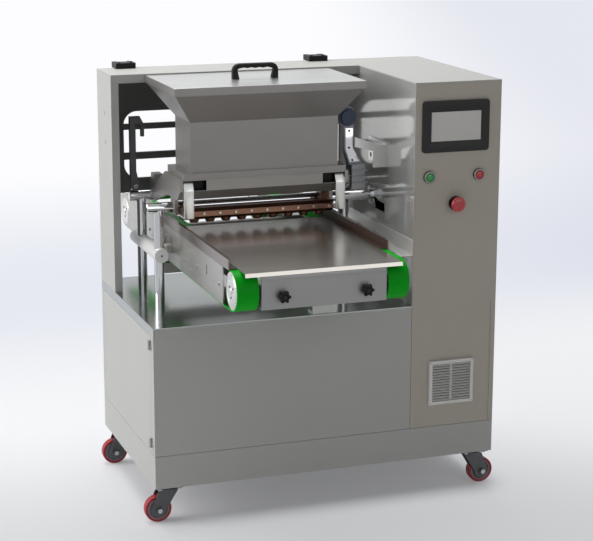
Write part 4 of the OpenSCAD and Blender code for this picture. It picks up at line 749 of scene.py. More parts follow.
@dataclass
class ControlPanel:
    """Display frame, push buttons and stop button on the cabinet front."""

    soft_angle: float = 50.0
    frame_round: float = 9 * MM
    frame_edge: float = 1.5 * MM
    frame_edge_steps: int = 4
    frame_plate: float = 7 * MM
    lip: float = 1.2 * MM
    lip_round: float = 3 * MM
    step: float = 0.6 * MM
    step_round: float = 2 * MM
    glass_lap: float = 0.2 * MM
    glass_round: float = 1 * MM
    case_inset: float = 8.5 * MM
    case_round: float = 2 * MM
    case_lap: float = 1 * MM
    cap_dome: float = 2.5 * MM
    cap_steps: int = 5
    cap_face_share: float = 0.72
    cap_rise_share: float = 0.35
    cap_lip_shares: Span = (0.78, 1.1)
    cap_groove_shares: Span = (0.84, 0.6)
    cap_edge: float = 1 * MM
    ring_gap: float = 0.6 * MM
    ring_face: float = 2.8 * MM
    ring_edge: float = 1.2 * MM
    ring_height: float = 2.2 * MM
    collar_height: float = 5 * MM
    head_steps: int = 10
    head_turns: int = 56
    head_flat_share: float = 0.55
    head_dome: float = 9 * MM
    head_rim: float = 12 * MM
    head_back: float = 15 * MM
    head_back_edge: float = 2 * MM
    head_lip: float = 8 * MM
    neck_radius: float = 10 * MM
    neck_start: float = 16 * MM

    def build(self) -> None:
        """Build and dress every piece of the panel."""
        self.display()
        for colour, finish, slot in (("green", GREEN_CAP, "green_plastic"), ("red", RED_CAP, "red_plastic")):
            self.push_button(colour, finish)
        self.stop_button()

    def display(self) -> None:
        """Replace the display frame by one with a rounded edge and a stepped window."""
        low, high = node_box("display_bezel")
        glass_low, glass_high = node_box("display_screen")
        middle = (low + high) / 2
        glass = (glass_low + glass_high) / 2
        width, height = high.x - low.x, high.z - low.z
        window_w, window_h = glass_high.x - glass_low.x, glass_high.z - glass_low.z
        front, mount = low.y, low.y + self.frame_plate
        edge = self.frame_edge

        def ring(y: float, shrink: float, r: float) -> Loop:
            """Return one loop of the frame's outer skin, drawn in."""
            place = Vector((middle.x, y, middle.z))
            return rounded_loop(place, X_AXIS, Z_AXIS, width - shrink, height - shrink, r)

        def window(y: float, grow: float, r: float) -> Loop:
            """Return one loop of the window, let out."""
            place = Vector((glass.x, y, glass.z))
            return rounded_loop(place, X_AXIS, Z_AXIS, window_w + grow, window_h + grow, r)

        loops = [ring(mount, 0.0, self.frame_round)]
        for i in range(self.frame_edge_steps + 1):
            angle = math.pi / 2 * i / self.frame_edge_steps
            shrink = 2 * edge * (1 - math.cos(angle))
            loops.append(ring(front + edge - edge * math.sin(angle), shrink, self.frame_round - shrink / 2))
        loops += [window(front, 2 * self.lip, self.lip_round),
                  window(front + self.step, self.step, self.step_round),
                  window(glass_low.y + self.glass_lap, -2 * self.glass_lap, self.glass_round)]
        skin = loft(loops, Ends.RING)
        piece = settle("display_frame", skin, BEZEL_ABS, "frame", self.soft_angle)
        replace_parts(piece, "display_bezel")
        case = loft([ring(y, 2 * self.case_inset, self.case_round) for y in (mount - self.case_lap, high.y)])
        settle("display_case", case, BLACK_ABS, "frame")

    def button_size(self, node: str) -> tuple[Vector, float, float]:
        """Measure a button of the CAD model.

        Args:
            node: Name of the button's node.

        Returns:
            Middle of its face, its radius and its length.
        """
        low, high = node_box(node)
        middle = Vector(((low.x + high.x) / 2, low.y, (low.z + high.z) / 2))
        return middle, (high.x - low.x) / 2, high.y - low.y

    def push_button(self, colour: str, finish: Finish) -> None:
        """Replace a push button by a domed cap with a groove round it, and set a ring on its collar.

        Args:
            colour: Name of the button.
            finish: Finish of its cap.
        """
        body = f"{colour}_button"
        middle, radius, reach = self.button_size(body)
        profile = [(0.0, 0.0)]
        for i in range(1, self.cap_steps + 1):
            share = i / self.cap_steps
            rise = self.cap_dome * self.cap_rise_share * share * share
            profile.append((radius * self.cap_face_share * share, rise))
        for width_share, rise_share in (self.cap_lip_shares, self.cap_groove_shares):
            profile.append((radius * width_share, self.cap_dome * rise_share))
        shoulder = profile[-1][1]
        profile += [(radius - self.cap_edge, shoulder), (radius, shoulder + self.cap_edge), (radius, reach),
                    (0.0, reach)]
        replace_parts(settle(f"{colour}_cap", lathe(profile, middle, Y_AXIS), finish, body), body)
        inner = radius + self.ring_gap
        flat = inner + self.ring_face
        outer = flat + self.ring_edge
        ring = [(inner, 0.0), (flat, 0.0), (outer, self.ring_edge), (outer, self.ring_height),
                (inner, self.ring_height)]
        seat = middle.copy()
        seat.y = node_box("cabinet_front")[0].y - self.collar_height - self.ring_height
        settle(f"{colour}_ring", lathe(ring, seat, Y_AXIS), MACHINED_STEEL, "frame")

    def stop_button(self) -> None:
        """Replace the stop button by a mushroom head with a rolled rim."""
        middle, radius, reach = self.button_size("stop_button")
        flat = radius * self.head_flat_share
        profile = [(0.0, 0.0)]
        for i in range(1, self.head_steps + 1):
            angle = math.pi / 2 * i / self.head_steps
            profile.append((flat + (radius - flat) * math.sin(angle), self.head_dome * (1 - math.cos(angle))))
        profile += [(radius, self.head_rim), (radius - self.head_back_edge, self.head_back),
                    (radius - self.head_lip, self.head_back), (self.neck_radius, self.neck_start),
                    (self.neck_radius, reach), (0.0, reach)]
        head = lathe(profile, middle, Y_AXIS, self.head_turns)
        piece = settle("stop_head", head, RED_CAP, "stop_button", self.soft_angle)
        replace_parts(piece, "stop_button")


@dataclass
class HopperLid:
    """Top sheet of the lid, a lighter copy of the hopper's stainless that paints light on the top, and its
    bridge handle with finger waves under the grip.

    Attributes:
        sheet: Thickness of the top sheet.
        sheet_round: Corner radius of the top sheet.
        grip: Thickness of the bar in the middle.
        grip_round: Radius of the bar's edges.
        round_limit: Least ratio of the bar's thickness to that radius.
        foot: Thickness of a foot.
        flare: How much thicker than the grip a leg is at its top.
        bend: Outer radius of the bends.
        wave: Depth of the finger waves.
        waves: Number of finger waves under the grip.
        wave_fade: The waves reach full depth after one part in this many of the grip's half.
        leg_share: Part of each half that is leg.
        turn_share: Part of each half that is leg and bend.
        steps: Number of sections along the bar.
    """

    sheet: float = 0.8 * MM
    sheet_round: float = 4 * MM
    grip: float = 14 * MM
    grip_round: float = 5.5 * MM
    round_limit: float = 2.1
    foot: float = 21 * MM
    flare: float = 2 * MM
    bend: float = 21 * MM
    wave: float = 2.2 * MM
    waves: int = 4
    wave_fade: float = 4.0
    leg_share: float = 0.25
    turn_share: float = 0.6
    steps: int = 40

    def build(self) -> None:
        """Build the top sheet and the handle."""
        self.top_sheet()
        self.handle()

    def top_sheet(self) -> None:
        """Lay a thin sheet with soft edges on the lid, lighter than the hopper's stainless as painted light
        on the top.
        """
        low, high = node_box("hopper_lid")
        middle = (low + high) / 2
        loops = []
        for up, inset in ((0.0, 0.0), (self.sheet / 2, 0.0), (self.sheet, self.sheet / 2)):
            place = Vector((middle.x, middle.y, high.z + up))
            wide, deep = high.x - low.x - 2 * inset, high.y - low.y - 2 * inset
            loops.append(rounded_loop(place, X_AXIS, Y_AXIS, wide, deep, self.sheet_round))
        settle("lid_top_painted_light_sheet", loft(loops), LIT_LID_SHEET, "lid")

    def handle(self) -> None:
        """Replace the handle by a rounded bar that runs over from foot to foot."""
        low, high = node_box("lid_handle")
        loops = [self.section(i / self.steps, low, high) for i in range(self.steps + 1)]
        piece = settle("lid_grip", loft(loops), BLACK_ABS, "lid")
        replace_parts(piece, "lid_handle")

    def section(self, share: float, low: Vector, high: Vector) -> Loop:
        """Return one cross-section of the bar.

        Args:
            share: Place along the bar, from 0 at the left foot to 1 at the right one.
            low: Lowest corner of the handle.
            high: Highest corner of the handle.

        Returns:
            The loop of points.
        """
        middle = (low + high) / 2
        half = (high.x - low.x) / 2
        side = -1 if share < 0.5 else 1
        run = 2 * min(share, 1 - share)
        leg, turn = self.leg_share, self.turn_share
        if run < leg:
            part = run / leg
            thick = self.foot + (self.grip + self.flare - self.foot) * part
            across = side * (half - thick / 2)
            height = low.z + (high.z - self.bend - low.z) * part
            heading = -side * Z_AXIS
        elif run < turn:
            part = (run - leg) / (turn - leg)
            angle = math.pi / 2 * part
            thick = self.grip + self.flare * (1 - part)
            reach = self.bend - thick / 2
            across = side * (half - self.bend + reach * math.cos(angle))
            height = high.z - self.bend + reach * math.sin(angle)
            heading = Vector((math.sin(angle), 0, -side * math.cos(angle)))
        else:
            part = (run - turn) / (1 - turn)
            across = side * (half - self.bend) * (1 - part)
            phase = across / (half - self.bend) * math.pi * self.waves
            fade = math.sin(math.pi / 2 * min(part * self.wave_fade, 1))
            thick = self.grip - self.wave * (1 - math.cos(phase)) / 2 * fade
            height = high.z - thick / 2
            heading = X_AXIS
        edge = min(self.grip_round, thick / self.round_limit)
        place = Vector((middle.x + across, middle.y, height))
        return rounded_loop(place, heading.cross(Y_AXIS), Y_AXIS, thick, high.y - low.y, edge)


@dataclass
class StarKnobs:
    """Two clamping knobs on the conveyor front.

    Attributes:
        front_rows: Back from the face, drawn in from the rim, and share of the lobes' depth.
        rear_rows: The same, ahead of the back of the grip.
    """

    lobes: int = 6
    lobe_depth: float = 5.2 * MM
    steps: int = 72
    soft_angle: float = 40.0
    grip_deep: float = 16 * MM
    dish: float = 0.8 * MM
    dish_share: float = 0.62
    face_share: float = 0.50
    face_ripple: float = 0.2 * MM
    front_rows: tuple[Point, ...] = ((0.6 * MM, 3 * MM, 0.8), (2.4 * MM, 0.8 * MM, 1.0), (5 * MM, 0.0, 1.0))
    rear_rows: tuple[Point, ...] = ((3 * MM, 0.0, 1.0), (0.8 * MM, 1.2 * MM, 1.0), (0.0, 3 * MM, 0.8))
    neck: float = 5.4 * MM
    neck_share: float = 0.52
    round_steps: int = 32
    insert_radius: float = 5 * MM
    insert_edge: float = 0.8 * MM
    insert_deep: float = 3 * MM
    gap: float = 0.2 * MM
    stud_radius: float = 4 * MM
    stud_length: float = 15.5 * MM
    stud_tip_radius: float = 3 * MM
    stud_tip: float = 1.5 * MM

    def build(self) -> None:
        """Replace both knobs by star grips with a metal insert."""
        for side in ("left", "right"):
            self.knob(side)

    def knob(self, side: str) -> None:
        """Build one knob.

        Args:
            side: Which knob.
        """
        body = f"{side}_knob"
        low, high = node_box(body)
        x, z = (low.x + high.x) / 2, (low.z + high.z) / 2
        radius = (high.x - low.x) / 2
        face, back = low.y, low.y + self.grip_deep

        def star(y: float, shrink: float, depth: float) -> Loop:
            """Return one loop of the star outline.

            Args:
                y: Where the loop lies.
                shrink: How far it is drawn in from the rim.
                depth: Depth between the lobes.

            Returns:
                The loop of points.
            """
            loop = []
            for i in range(self.steps):
                angle = 2 * math.pi * i / self.steps
                reach = radius - shrink - depth * (1 - math.cos(self.lobes * angle)) / 2
                loop.append(Vector((x + reach * math.cos(angle), y, z + reach * math.sin(angle))))
            return loop

        loops = [star(face + self.dish, radius * self.dish_share, 0.0),
                 star(face, radius * self.face_share, self.face_ripple)]
        loops += [star(face + far, shrink, self.lobe_depth * share) for far, shrink, share in self.front_rows]
        loops += [star(back - far, shrink, self.lobe_depth * share) for far, shrink, share in self.rear_rows]
        loops += [star(y, radius * self.neck_share, 0.0) for y in (back, back + self.neck)]
        piece = settle(f"{side}_star", loft(loops), BLACK_ABS, body, self.soft_angle)
        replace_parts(piece, body)
        insert = [(0.0, 0.0), (self.insert_radius - self.insert_edge, 0.0),
                  (self.insert_radius, self.insert_edge), (self.insert_radius, self.insert_deep),
                  (0.0, self.insert_deep)]
        stud = [(0.0, 0.0), (self.stud_radius, 0.0), (self.stud_radius, self.stud_length - self.stud_tip),
                (self.stud_tip_radius, self.stud_length), (0.0, self.stud_length)]
        for name, profile, y, finish in (("insert", insert, face + self.gap, BLACK_SCREW),
                                         ("stud", stud, back + self.neck + self.gap, ZINC_SCREW)):
            mesh = lathe(profile, Vector((x, y, z)), Y_AXIS, self.round_steps)
            settle(f"{side}_{name}", mesh, finish, body)


@dataclass
class Fasteners:
    """Screws that hold the nozzle bar, hinges, plates and grille."""

    fine: float = 2.4 * MM
    small: float = 3.2 * MM
    medium: float = 4.5 * MM
    nozzle_count: int = 10
    nozzle_pitch: float = 46 * MM
    nozzle_bar_deep: float = 44 * MM
    nozzle_up: float = 27 * MM
    hinge_inset: float = 29 * MM
    hinge_spread: float = 18 * MM
    hinge_back: float = 14 * MM
    hinge_height: float = 2 * MM
    plate_shares: tuple[float, ...] = (0.03, 0.22, 0.45, 0.68, 0.80)
    plate_up: float = 47 * MM
    plate_height: float = 2.4 * MM
    grille_inset: float = 4.5 * MM
    grille_height: float = 1.2 * MM
    tube_proud: float = 0.4 * MM
    tube_height: float = 1 * MM
    leaf_up: Span = (125 * MM, 400 * MM)
    leaf_drop: float = 6.5 * MM
    leaf_back: float = 21 * MM
    leaf_out: float = 1.9 * MM
    leaf_height: float = 0.9 * MM

    def build(self) -> None:
        """Build every row of screws."""
        self.nozzle_row()
        self.guard_hinges()
        self.conveyor_rows()
        self.grille()
        self.tube_ends()
        self.door_hinges()

    def nozzle_row(self) -> None:
        """Set a row of screws along the front of the nozzle bar."""
        low, high = node_box("nozzle_bar")
        start = (low.x + high.x - (self.nozzle_count - 1) * self.nozzle_pitch) / 2
        front = high.y - self.nozzle_bar_deep - self.small / 2
        points = [Vector((start + i * self.nozzle_pitch, front, low.z + self.nozzle_up))
                  for i in range(self.nozzle_count)]
        screws("nozzle_screws", points, -Y_AXIS, self.small, self.small, ZINC_SCREW, "frame")

    def guard_hinges(self) -> None:
        """Set screws on top of the guard's hinge blocks."""
        low, high = node_box("guard_hinges")
        points = [Vector((x + dx, low.y + self.hinge_back, high.z + self.hinge_height / 2))
                  for x in (low.x + self.hinge_inset, high.x - self.hinge_inset)
                  for dx in (-self.hinge_spread, self.hinge_spread)]
        screws("hinge_screws", points, Z_AXIS, self.medium, self.hinge_height, BLACK_SCREW, "frame")

    def conveyor_rows(self) -> None:
        """Set screws along the outside of the conveyor side plates."""
        low, high = node_box("side_plates")
        half = self.plate_height / 2
        for name, x, axis in (("left", low.x - half, -X_AXIS), ("right", high.x + half, X_AXIS)):
            points = [Vector((x, low.y + (high.y - low.y) * share, low.z + self.plate_up))
                      for share in self.plate_shares]
            screws(f"{name}_plate_screws", points, axis, self.medium, self.plate_height, ZINC_SCREW,
                   "carriage")

    def grille(self) -> None:
        """Set a screw in each corner of the vent grille."""
        low, high = node_box("vent_grille")
        inset = self.grille_inset
        points = [Vector((x, low.y - self.grille_height / 2, z)) for x in (low.x + inset, high.x - inset)
                  for z in (low.z + inset, high.z - inset)]
        screws("grille_screws", points, -Y_AXIS, self.fine, self.grille_height, ZINC_SCREW, "frame")

    def tube_ends(self) -> None:
        """Set a small screw in the front end of each lift bar."""
        low, high = node_box("lift_bars")
        radius = (high.z - low.z) / 2
        points = [Vector((x, low.y - self.tube_proud, low.z + radius))
                  for x in (low.x + radius, high.x - radius)]
        screws("lift_bar_end_screws", points, -Y_AXIS, self.fine, self.tube_height, BLACK_SCREW, "carriage")

    def door_hinges(self) -> None:
        """Set screws in the leaves of the side door's hinges."""
        panel_low, _ = node_box("front_panel")
        base_low, _ = node_box("base_pan")
        x, y = base_low.x - self.leaf_out, panel_low.y + self.leaf_back
        points = [Vector((x, y, base_low.z + up - self.leaf_drop)) for up in self.leaf_up]
        screws("hinge_leaf_screws", points, -X_AXIS, self.fine, self.leaf_height, ZINC_SCREW, "frame")


@dataclass
class VentShadeMat:
    """Black mat behind the louvres of the vent grille, painted shade in the gaps between them."""

    rim: float = 9 * MM
    depth: float = 6 * MM
    thick: float = 1 * MM
    corner: float = 2 * MM

    def build(self) -> None:
        """Build the mat."""
        low, high = node_box("vent_grille")
        middle = (low + high) / 2
        loops = []
        for back, inset in ((0.0, self.thick / 2), (self.thick / 2, 0.0), (self.thick, 0.0)):
            shrink = 2 * (self.rim + inset)
            loops.append(rounded_loop(Vector((middle.x, low.y + self.depth + back, middle.z)), X_AXIS, Z_AXIS,
                                      high.x - low.x - shrink, high.z - low.z - shrink, self.corner))
        # The black mat paints the shade between the louvres.
        settle("vent_painted_shade_mat", loft(loops), BLACK_ABS, "frame")


@dataclass
class FrontCap:
    """Folded strip that carries the conveyor's front plate up to the tray."""

    thick: float = 4 * MM
    lap: float = 0.4 * MM
    tray_gap: float = 1.6 * MM
    fold: float = 11 * MM
    edge: float = 0.8 * MM

    def build(self) -> None:
        """Build the strip."""
        low, high = node_box("front_frame")
        front, back, tip = low.y, low.y + self.thick, low.y + self.fold
        bottom = high.z - self.lap
        top = node_box("tray")[0].z - self.tray_gap
        under = top - self.thick / 2
        outline = [(front, bottom), (front, top), (tip, top), (tip, under), (back, under), (back, bottom)]
        strip = extrude(outline, low.x, high.x, self.edge)
        settle("front_plate_cap", strip, FRONT_PLATE, "carriage")


@dataclass
class FeedDrive:
    """Fins of the feed motor beside the hopper, and a chromed cover on the arm that carries it.

    Attributes:
        first_fin: Place of the first fin from an end, in pitches.
        cover_mm: Outline of the cover in X and Z, from the gearbox's lowest corner.
        screws_mm: Screws of the cover, from the same corner.
        cover_chamfer: Share by which the cover's front face is drawn in.
        chamfer_part: One part in this many of the cover's thickness is chamfer.
    """

    fin_thick: float = 2 * MM
    fin_proud: float = 2 * MM
    fin_pitch: float = 4.2 * MM
    first_fin: float = 0.7
    front_fins: int = 2
    rear_fins: int = 6
    cap: float = 6 * MM
    arm_back: float = 21 * MM
    cover_thick: float = 2.4 * MM
    cover_gap: float = 0.2 * MM
    cover_chamfer: float = 0.06
    chamfer_part: float = 3.0
    cover_mm: tuple[Span, ...] = ((41, 75), (73.6, 75), (49.5, 116), (49.5, 173), (26.5, 173), (26.5, 116))
    screws_mm: tuple[Span, ...] = ((48, 82), (38, 118), (38, 166))
    screw_radius: float = 3 * MM
    screw_height: float = 2 * MM

    def build(self) -> None:
        """Build the fins and the cover."""
        self.fins()
        self.cover()

    def cover(self) -> None:
        """Build the arm's cover with its screws."""
        low, _ = node_box("gearbox")
        face = low.y + self.arm_back - self.cover_gap
        front = face - self.cover_thick
        chamfer = front + self.cover_thick / self.chamfer_part
        points = [Vector((low.x + x * MM, 0, low.z + z * MM)) for x, z in self.cover_mm]
        middle = sum(points, Vector()) / len(points)
        loops = []
        for y, inset in ((face, 0.0), (chamfer, 0.0), (front, self.cover_chamfer)):
            loops.append([point.lerp(middle, inset) + y * Y_AXIS for point in points])
        settle("feed_arm_cover", loft(loops), CHROMED_BAR, "frame")
        y = front - self.screw_height / 2
        seats = [Vector((low.x + x * MM, y, low.z + z * MM)) for x, z in self.screws_mm]
        screws("feed_arm_screws", seats, -Y_AXIS, self.screw_radius, self.screw_height, BLACK_SCREW, "frame")

    def fins(self) -> None:
        """Build the motor's fins, in front of and behind its clamp."""
        low, high = node_box("motor")
        middle = (low + high) / 2
        radius = (high.x - low.x) / 2 + self.fin_proud
        places = [low.y + self.cap + (i + self.first_fin) * self.fin_pitch for i in range(self.front_fins)]
        places += [high.y - (i + self.first_fin) * self.fin_pitch for i in range(self.rear_fins)]
        points = [Vector((middle.x, y, middle.z)) for y in places]
        repeat("motor_fins", Pattern.FINS, points, Y_AXIS, radius, self.fin_thick, MOTOR_PAINT, "frame")


@dataclass
class HeadFittings:
    """Bright strips over the nozzle bar's hangers, and black liners in the head's pockets that paint the
    shade inside them.
    """

    strip_over: float = 0.4 * MM
    strip_thick: float = 4 * MM
    strip_wide: float = 27 * MM
    strip_in: float = 1 * MM
    strip_edge: float = 0.3 * MM
    foot_up: float = 27 * MM
    foot_reach: float = 58 * MM
    bend_drop: float = 26 * MM
    lean: float = 12 * MM
    pocket_wide: float = 66 * MM
    pocket_tall: float = 28 * MM
    pocket_deep: float = 17.5 * MM
    pocket_drop: float = 4 * MM
    shade_liner_wall: float = 1.2 * MM
    shade_liner_gap: float = 0.1 * MM
    shade_liner_sink: float = 0.2 * MM
    shade_liner_round: float = 2 * MM
    shade_liner_steps: int = 3

    def build(self) -> None:
        """Build both sides."""
        low, high = node_box("head_housing")
        for name, end, side in (("left", low.x, 1), ("right", high.x, -1)):
            self.hanger(name, end, side)
            self.shade_liner(name, end, side)

    def hanger(self, name: str, end: float, side: int) -> None:
        """Cover one hanger with a bright bent strip.

        Args:
            name: Which side.
            end: Where the head ends on that side.
            side: Direction from that end to the middle, 1 or -1.
        """
        low, high = node_box("nozzle_bar")
        over = self.strip_over
        front, back = low.y - over, low.y + self.strip_thick + over
        tip = low.y + self.foot_reach
        foot = low.z + self.foot_up
        under, upper = foot - over, foot + self.strip_thick + over
        bend, top = high.z - self.bend_drop, high.z + over
        outline = [(front, under), (tip, under), (tip, upper), (back, upper), (back, bend),
                   (back + self.lean, top), (front + self.lean, top), (front, bend)]
        ends = [end + side * (self.strip_in - over), end + side * (self.strip_in + self.strip_wide + over)]
        strip = extrude(outline, min(ends), max(ends), self.strip_edge)
        settle(f"{name}_hanger_strip", strip, BRIGHT_STRIP, "frame")

    def shade_liner(self, name: str, end: float, side: int) -> None:
        """Line one pocket of the head with a black open box, painted shade of the recess.

        Args:
            name: Which side.
            end: Where the head ends on that side.
            side: Direction from that end to the middle, 1 or -1.
        """
        low, high = node_box("head_housing")
        x = end + side * self.pocket_wide / 2
        z = high.z - self.pocket_drop - self.pocket_tall / 2

        def loop(y: float, wall: float) -> Loop:
            """Return one loop of the box, drawn in by a wall."""
            return rounded_loop(Vector((x, y, z)), X_AXIS, Z_AXIS, self.pocket_wide - 2 * wall,
                                self.pocket_tall - 2 * wall, self.shade_liner_round, self.shade_liner_steps)

        front, back = low.y + self.shade_liner_sink, low.y + self.pocket_deep
        wall, gap = self.shade_liner_wall, self.shade_liner_gap
        loops = [loop(back - wall, wall), loop(front, wall), loop(front, gap), loop(back, gap)]
        # Black box: painted shade inside the pocket.
        settle(f"{name}_pocket_shade_liner", loft(loops), BLACK_ABS, "frame")


@dataclass
class PulleyCaps:
    """Turned caps with a hub nut on the outer ends of the belt pulleys.

    Attributes:
        first_screw: Place of the first screw round the cap, in steps from one screw to the next.
        shafts: CAD node of each pulley pair and the body that turns it.
    """

    radius: float = 41 * MM
    rim_edge: float = 1 * MM
    steps: int = 64
    proud: float = 1.2 * MM
    groove_in: float = 6 * MM
    groove_half: float = 1 * MM
    groove_floor: float = 0.48 * MM
    nut_radius: float = 8 * MM
    nut_edge: float = 1 * MM
    nut_proud: float = 3.6 * MM
    nut_flat: float = 2.4 * MM
    screw_circle: float = 17 * MM
    screw_radius: float = 2.4 * MM
    screw_height: float = 1.92 * MM
    screw_count: int = 3
    first_screw: float = 0.25
    shafts: tuple[tuple[str, str], ...] = (("front_pulleys", "front_idler"), ("rear_pulleys", "rear_drive"))

    def build(self) -> None:
        """Build a cap on the left end of both pulley shafts."""
        groove = self.radius - self.groove_in
        profile = [(0.0, self.nut_proud), (self.nut_radius - self.nut_edge, self.nut_proud),
                   (self.nut_radius, self.nut_flat), (self.nut_radius, self.proud), (groove, self.proud),
                   (groove + self.groove_half, self.groove_floor),
                   (groove + 2 * self.groove_half, self.proud),
                   (self.radius - self.rim_edge, self.proud), (self.radius, 0.0), (0.0, 0.0)]
        for node, body in self.shafts:
            low, high = node_box(node)
            seat = Vector((low.x, (low.y + high.y) / 2, (low.z + high.z) / 2))
            cap = lathe(profile, seat, -X_AXIS, self.steps)
            settle(f"{node}_cap", cap, TURNED_ALUMINIUM, body)
            points = []
            for i in range(self.screw_count):
                angle = 2 * math.pi * (i + self.first_screw) / self.screw_count
                points.append(seat + Vector((-self.screw_height, self.screw_circle * math.cos(angle),
                                             self.screw_circle * math.sin(angle))))
            screws(f"{node}_cap_screws", points, -X_AXIS, self.screw_radius, self.screw_height, BLACK_SCREW,
                   body)


@dataclass
class WearStrips:
    """Brown strips inside the tray guides that cover the outer edges of the belts."""

    thick: float = 1.5 * MM
    belt_gap: float = 0.6 * MM
    tray_gap: float = 2 * MM
    rail_gap: float = 0.2 * MM
    rail: float = 4 * MM
    fold: float = 2.4 * MM

    def build(self) -> None:
        """Build a strip on each side of the tray."""
        low, high = node_box("tray_guides")
        tray_low, tray_high = node_box("tray")
        bottom = min(tray_high.z, low.z) + self.belt_gap
        level, top = bottom + self.thick, high.z - self.fold
        for name, side, wall, edge in (("left", 1, low.x, tray_low.x), ("right", -1, high.x, tray_high.x)):
            back = wall + side * (self.rail + self.rail_gap)
            front = back + side * self.thick
            tip = edge - side * self.tray_gap
            outline = [(back, bottom), (tip, bottom), (tip, bottom + self.thick / 2),
                       (tip - side * self.thick / 2, level), (front, level), (front, top), (back, top)]
            mesh = loft([[Vector((x, y, z)) for x, z in outline] for y in (self.front_end(side), high.y)])
            settle(f"{name}_wear_strip", mesh, WEAR_STRIP, "carriage")

    def front_end(self, side: int) -> float:
        """Find where the guide on one side starts.

        Args:
            side: 1 for the left guide, -1 for the right one.

        Returns:
            The lowest Y of that guide.
        """
        middle = sum(corner.x for corner in node_box("tray_guides")) / 2
        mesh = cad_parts["tray_guides"].data
        return min(vertex.co.y for vertex in mesh.vertices if (vertex.co.x - middle) * side < 0)


# Studio


@dataclass
class Lamp:
    """One soft rectangular lamp.

    Attributes:
        name: Name of the lamp.
        place: Where it hangs.
        aim: Point it faces.
        size: Side of its face.
        power: Watts.
    """

    name: str
    place: Point
    aim: Point
    size: float
    power: float

    def build(self) -> None:
        """Hang the lamp."""
        data = bpy.data.lights.new(self.name, "AREA")
        data.size = self.size
        data.energy = self.power
        lamp = bpy.data.objects.new(self.name, data)
        bpy.context.scene.collection.objects.link(lamp)
        lamp.location = self.place
        lamp.rotation_euler = (Vector(self.aim) - Vector(self.place)).to_track_quat("-Z", "Y").to_euler()


def seen_ray(tree: bpy.types.NodeTree) -> Socket:
    """Tell the rays that show a surface from those that only light something.

    Args:
        tree: Node tree that takes the nodes.

    Returns:
        An output that is 1 for rays from the camera, a mirror or a clear body, and 0 for others.
    """
    path = add_node(tree, "ShaderNodeLightPath").outputs
    seen = path["Is Camera Ray"]
    for ray in ("Is Glossy Ray", "Is Transmission Ray"):
        seen = add_node(tree, "ShaderNodeMath", {0: seen, 1: path[ray]}, operation="MAXIMUM").outputs[0]
    return seen


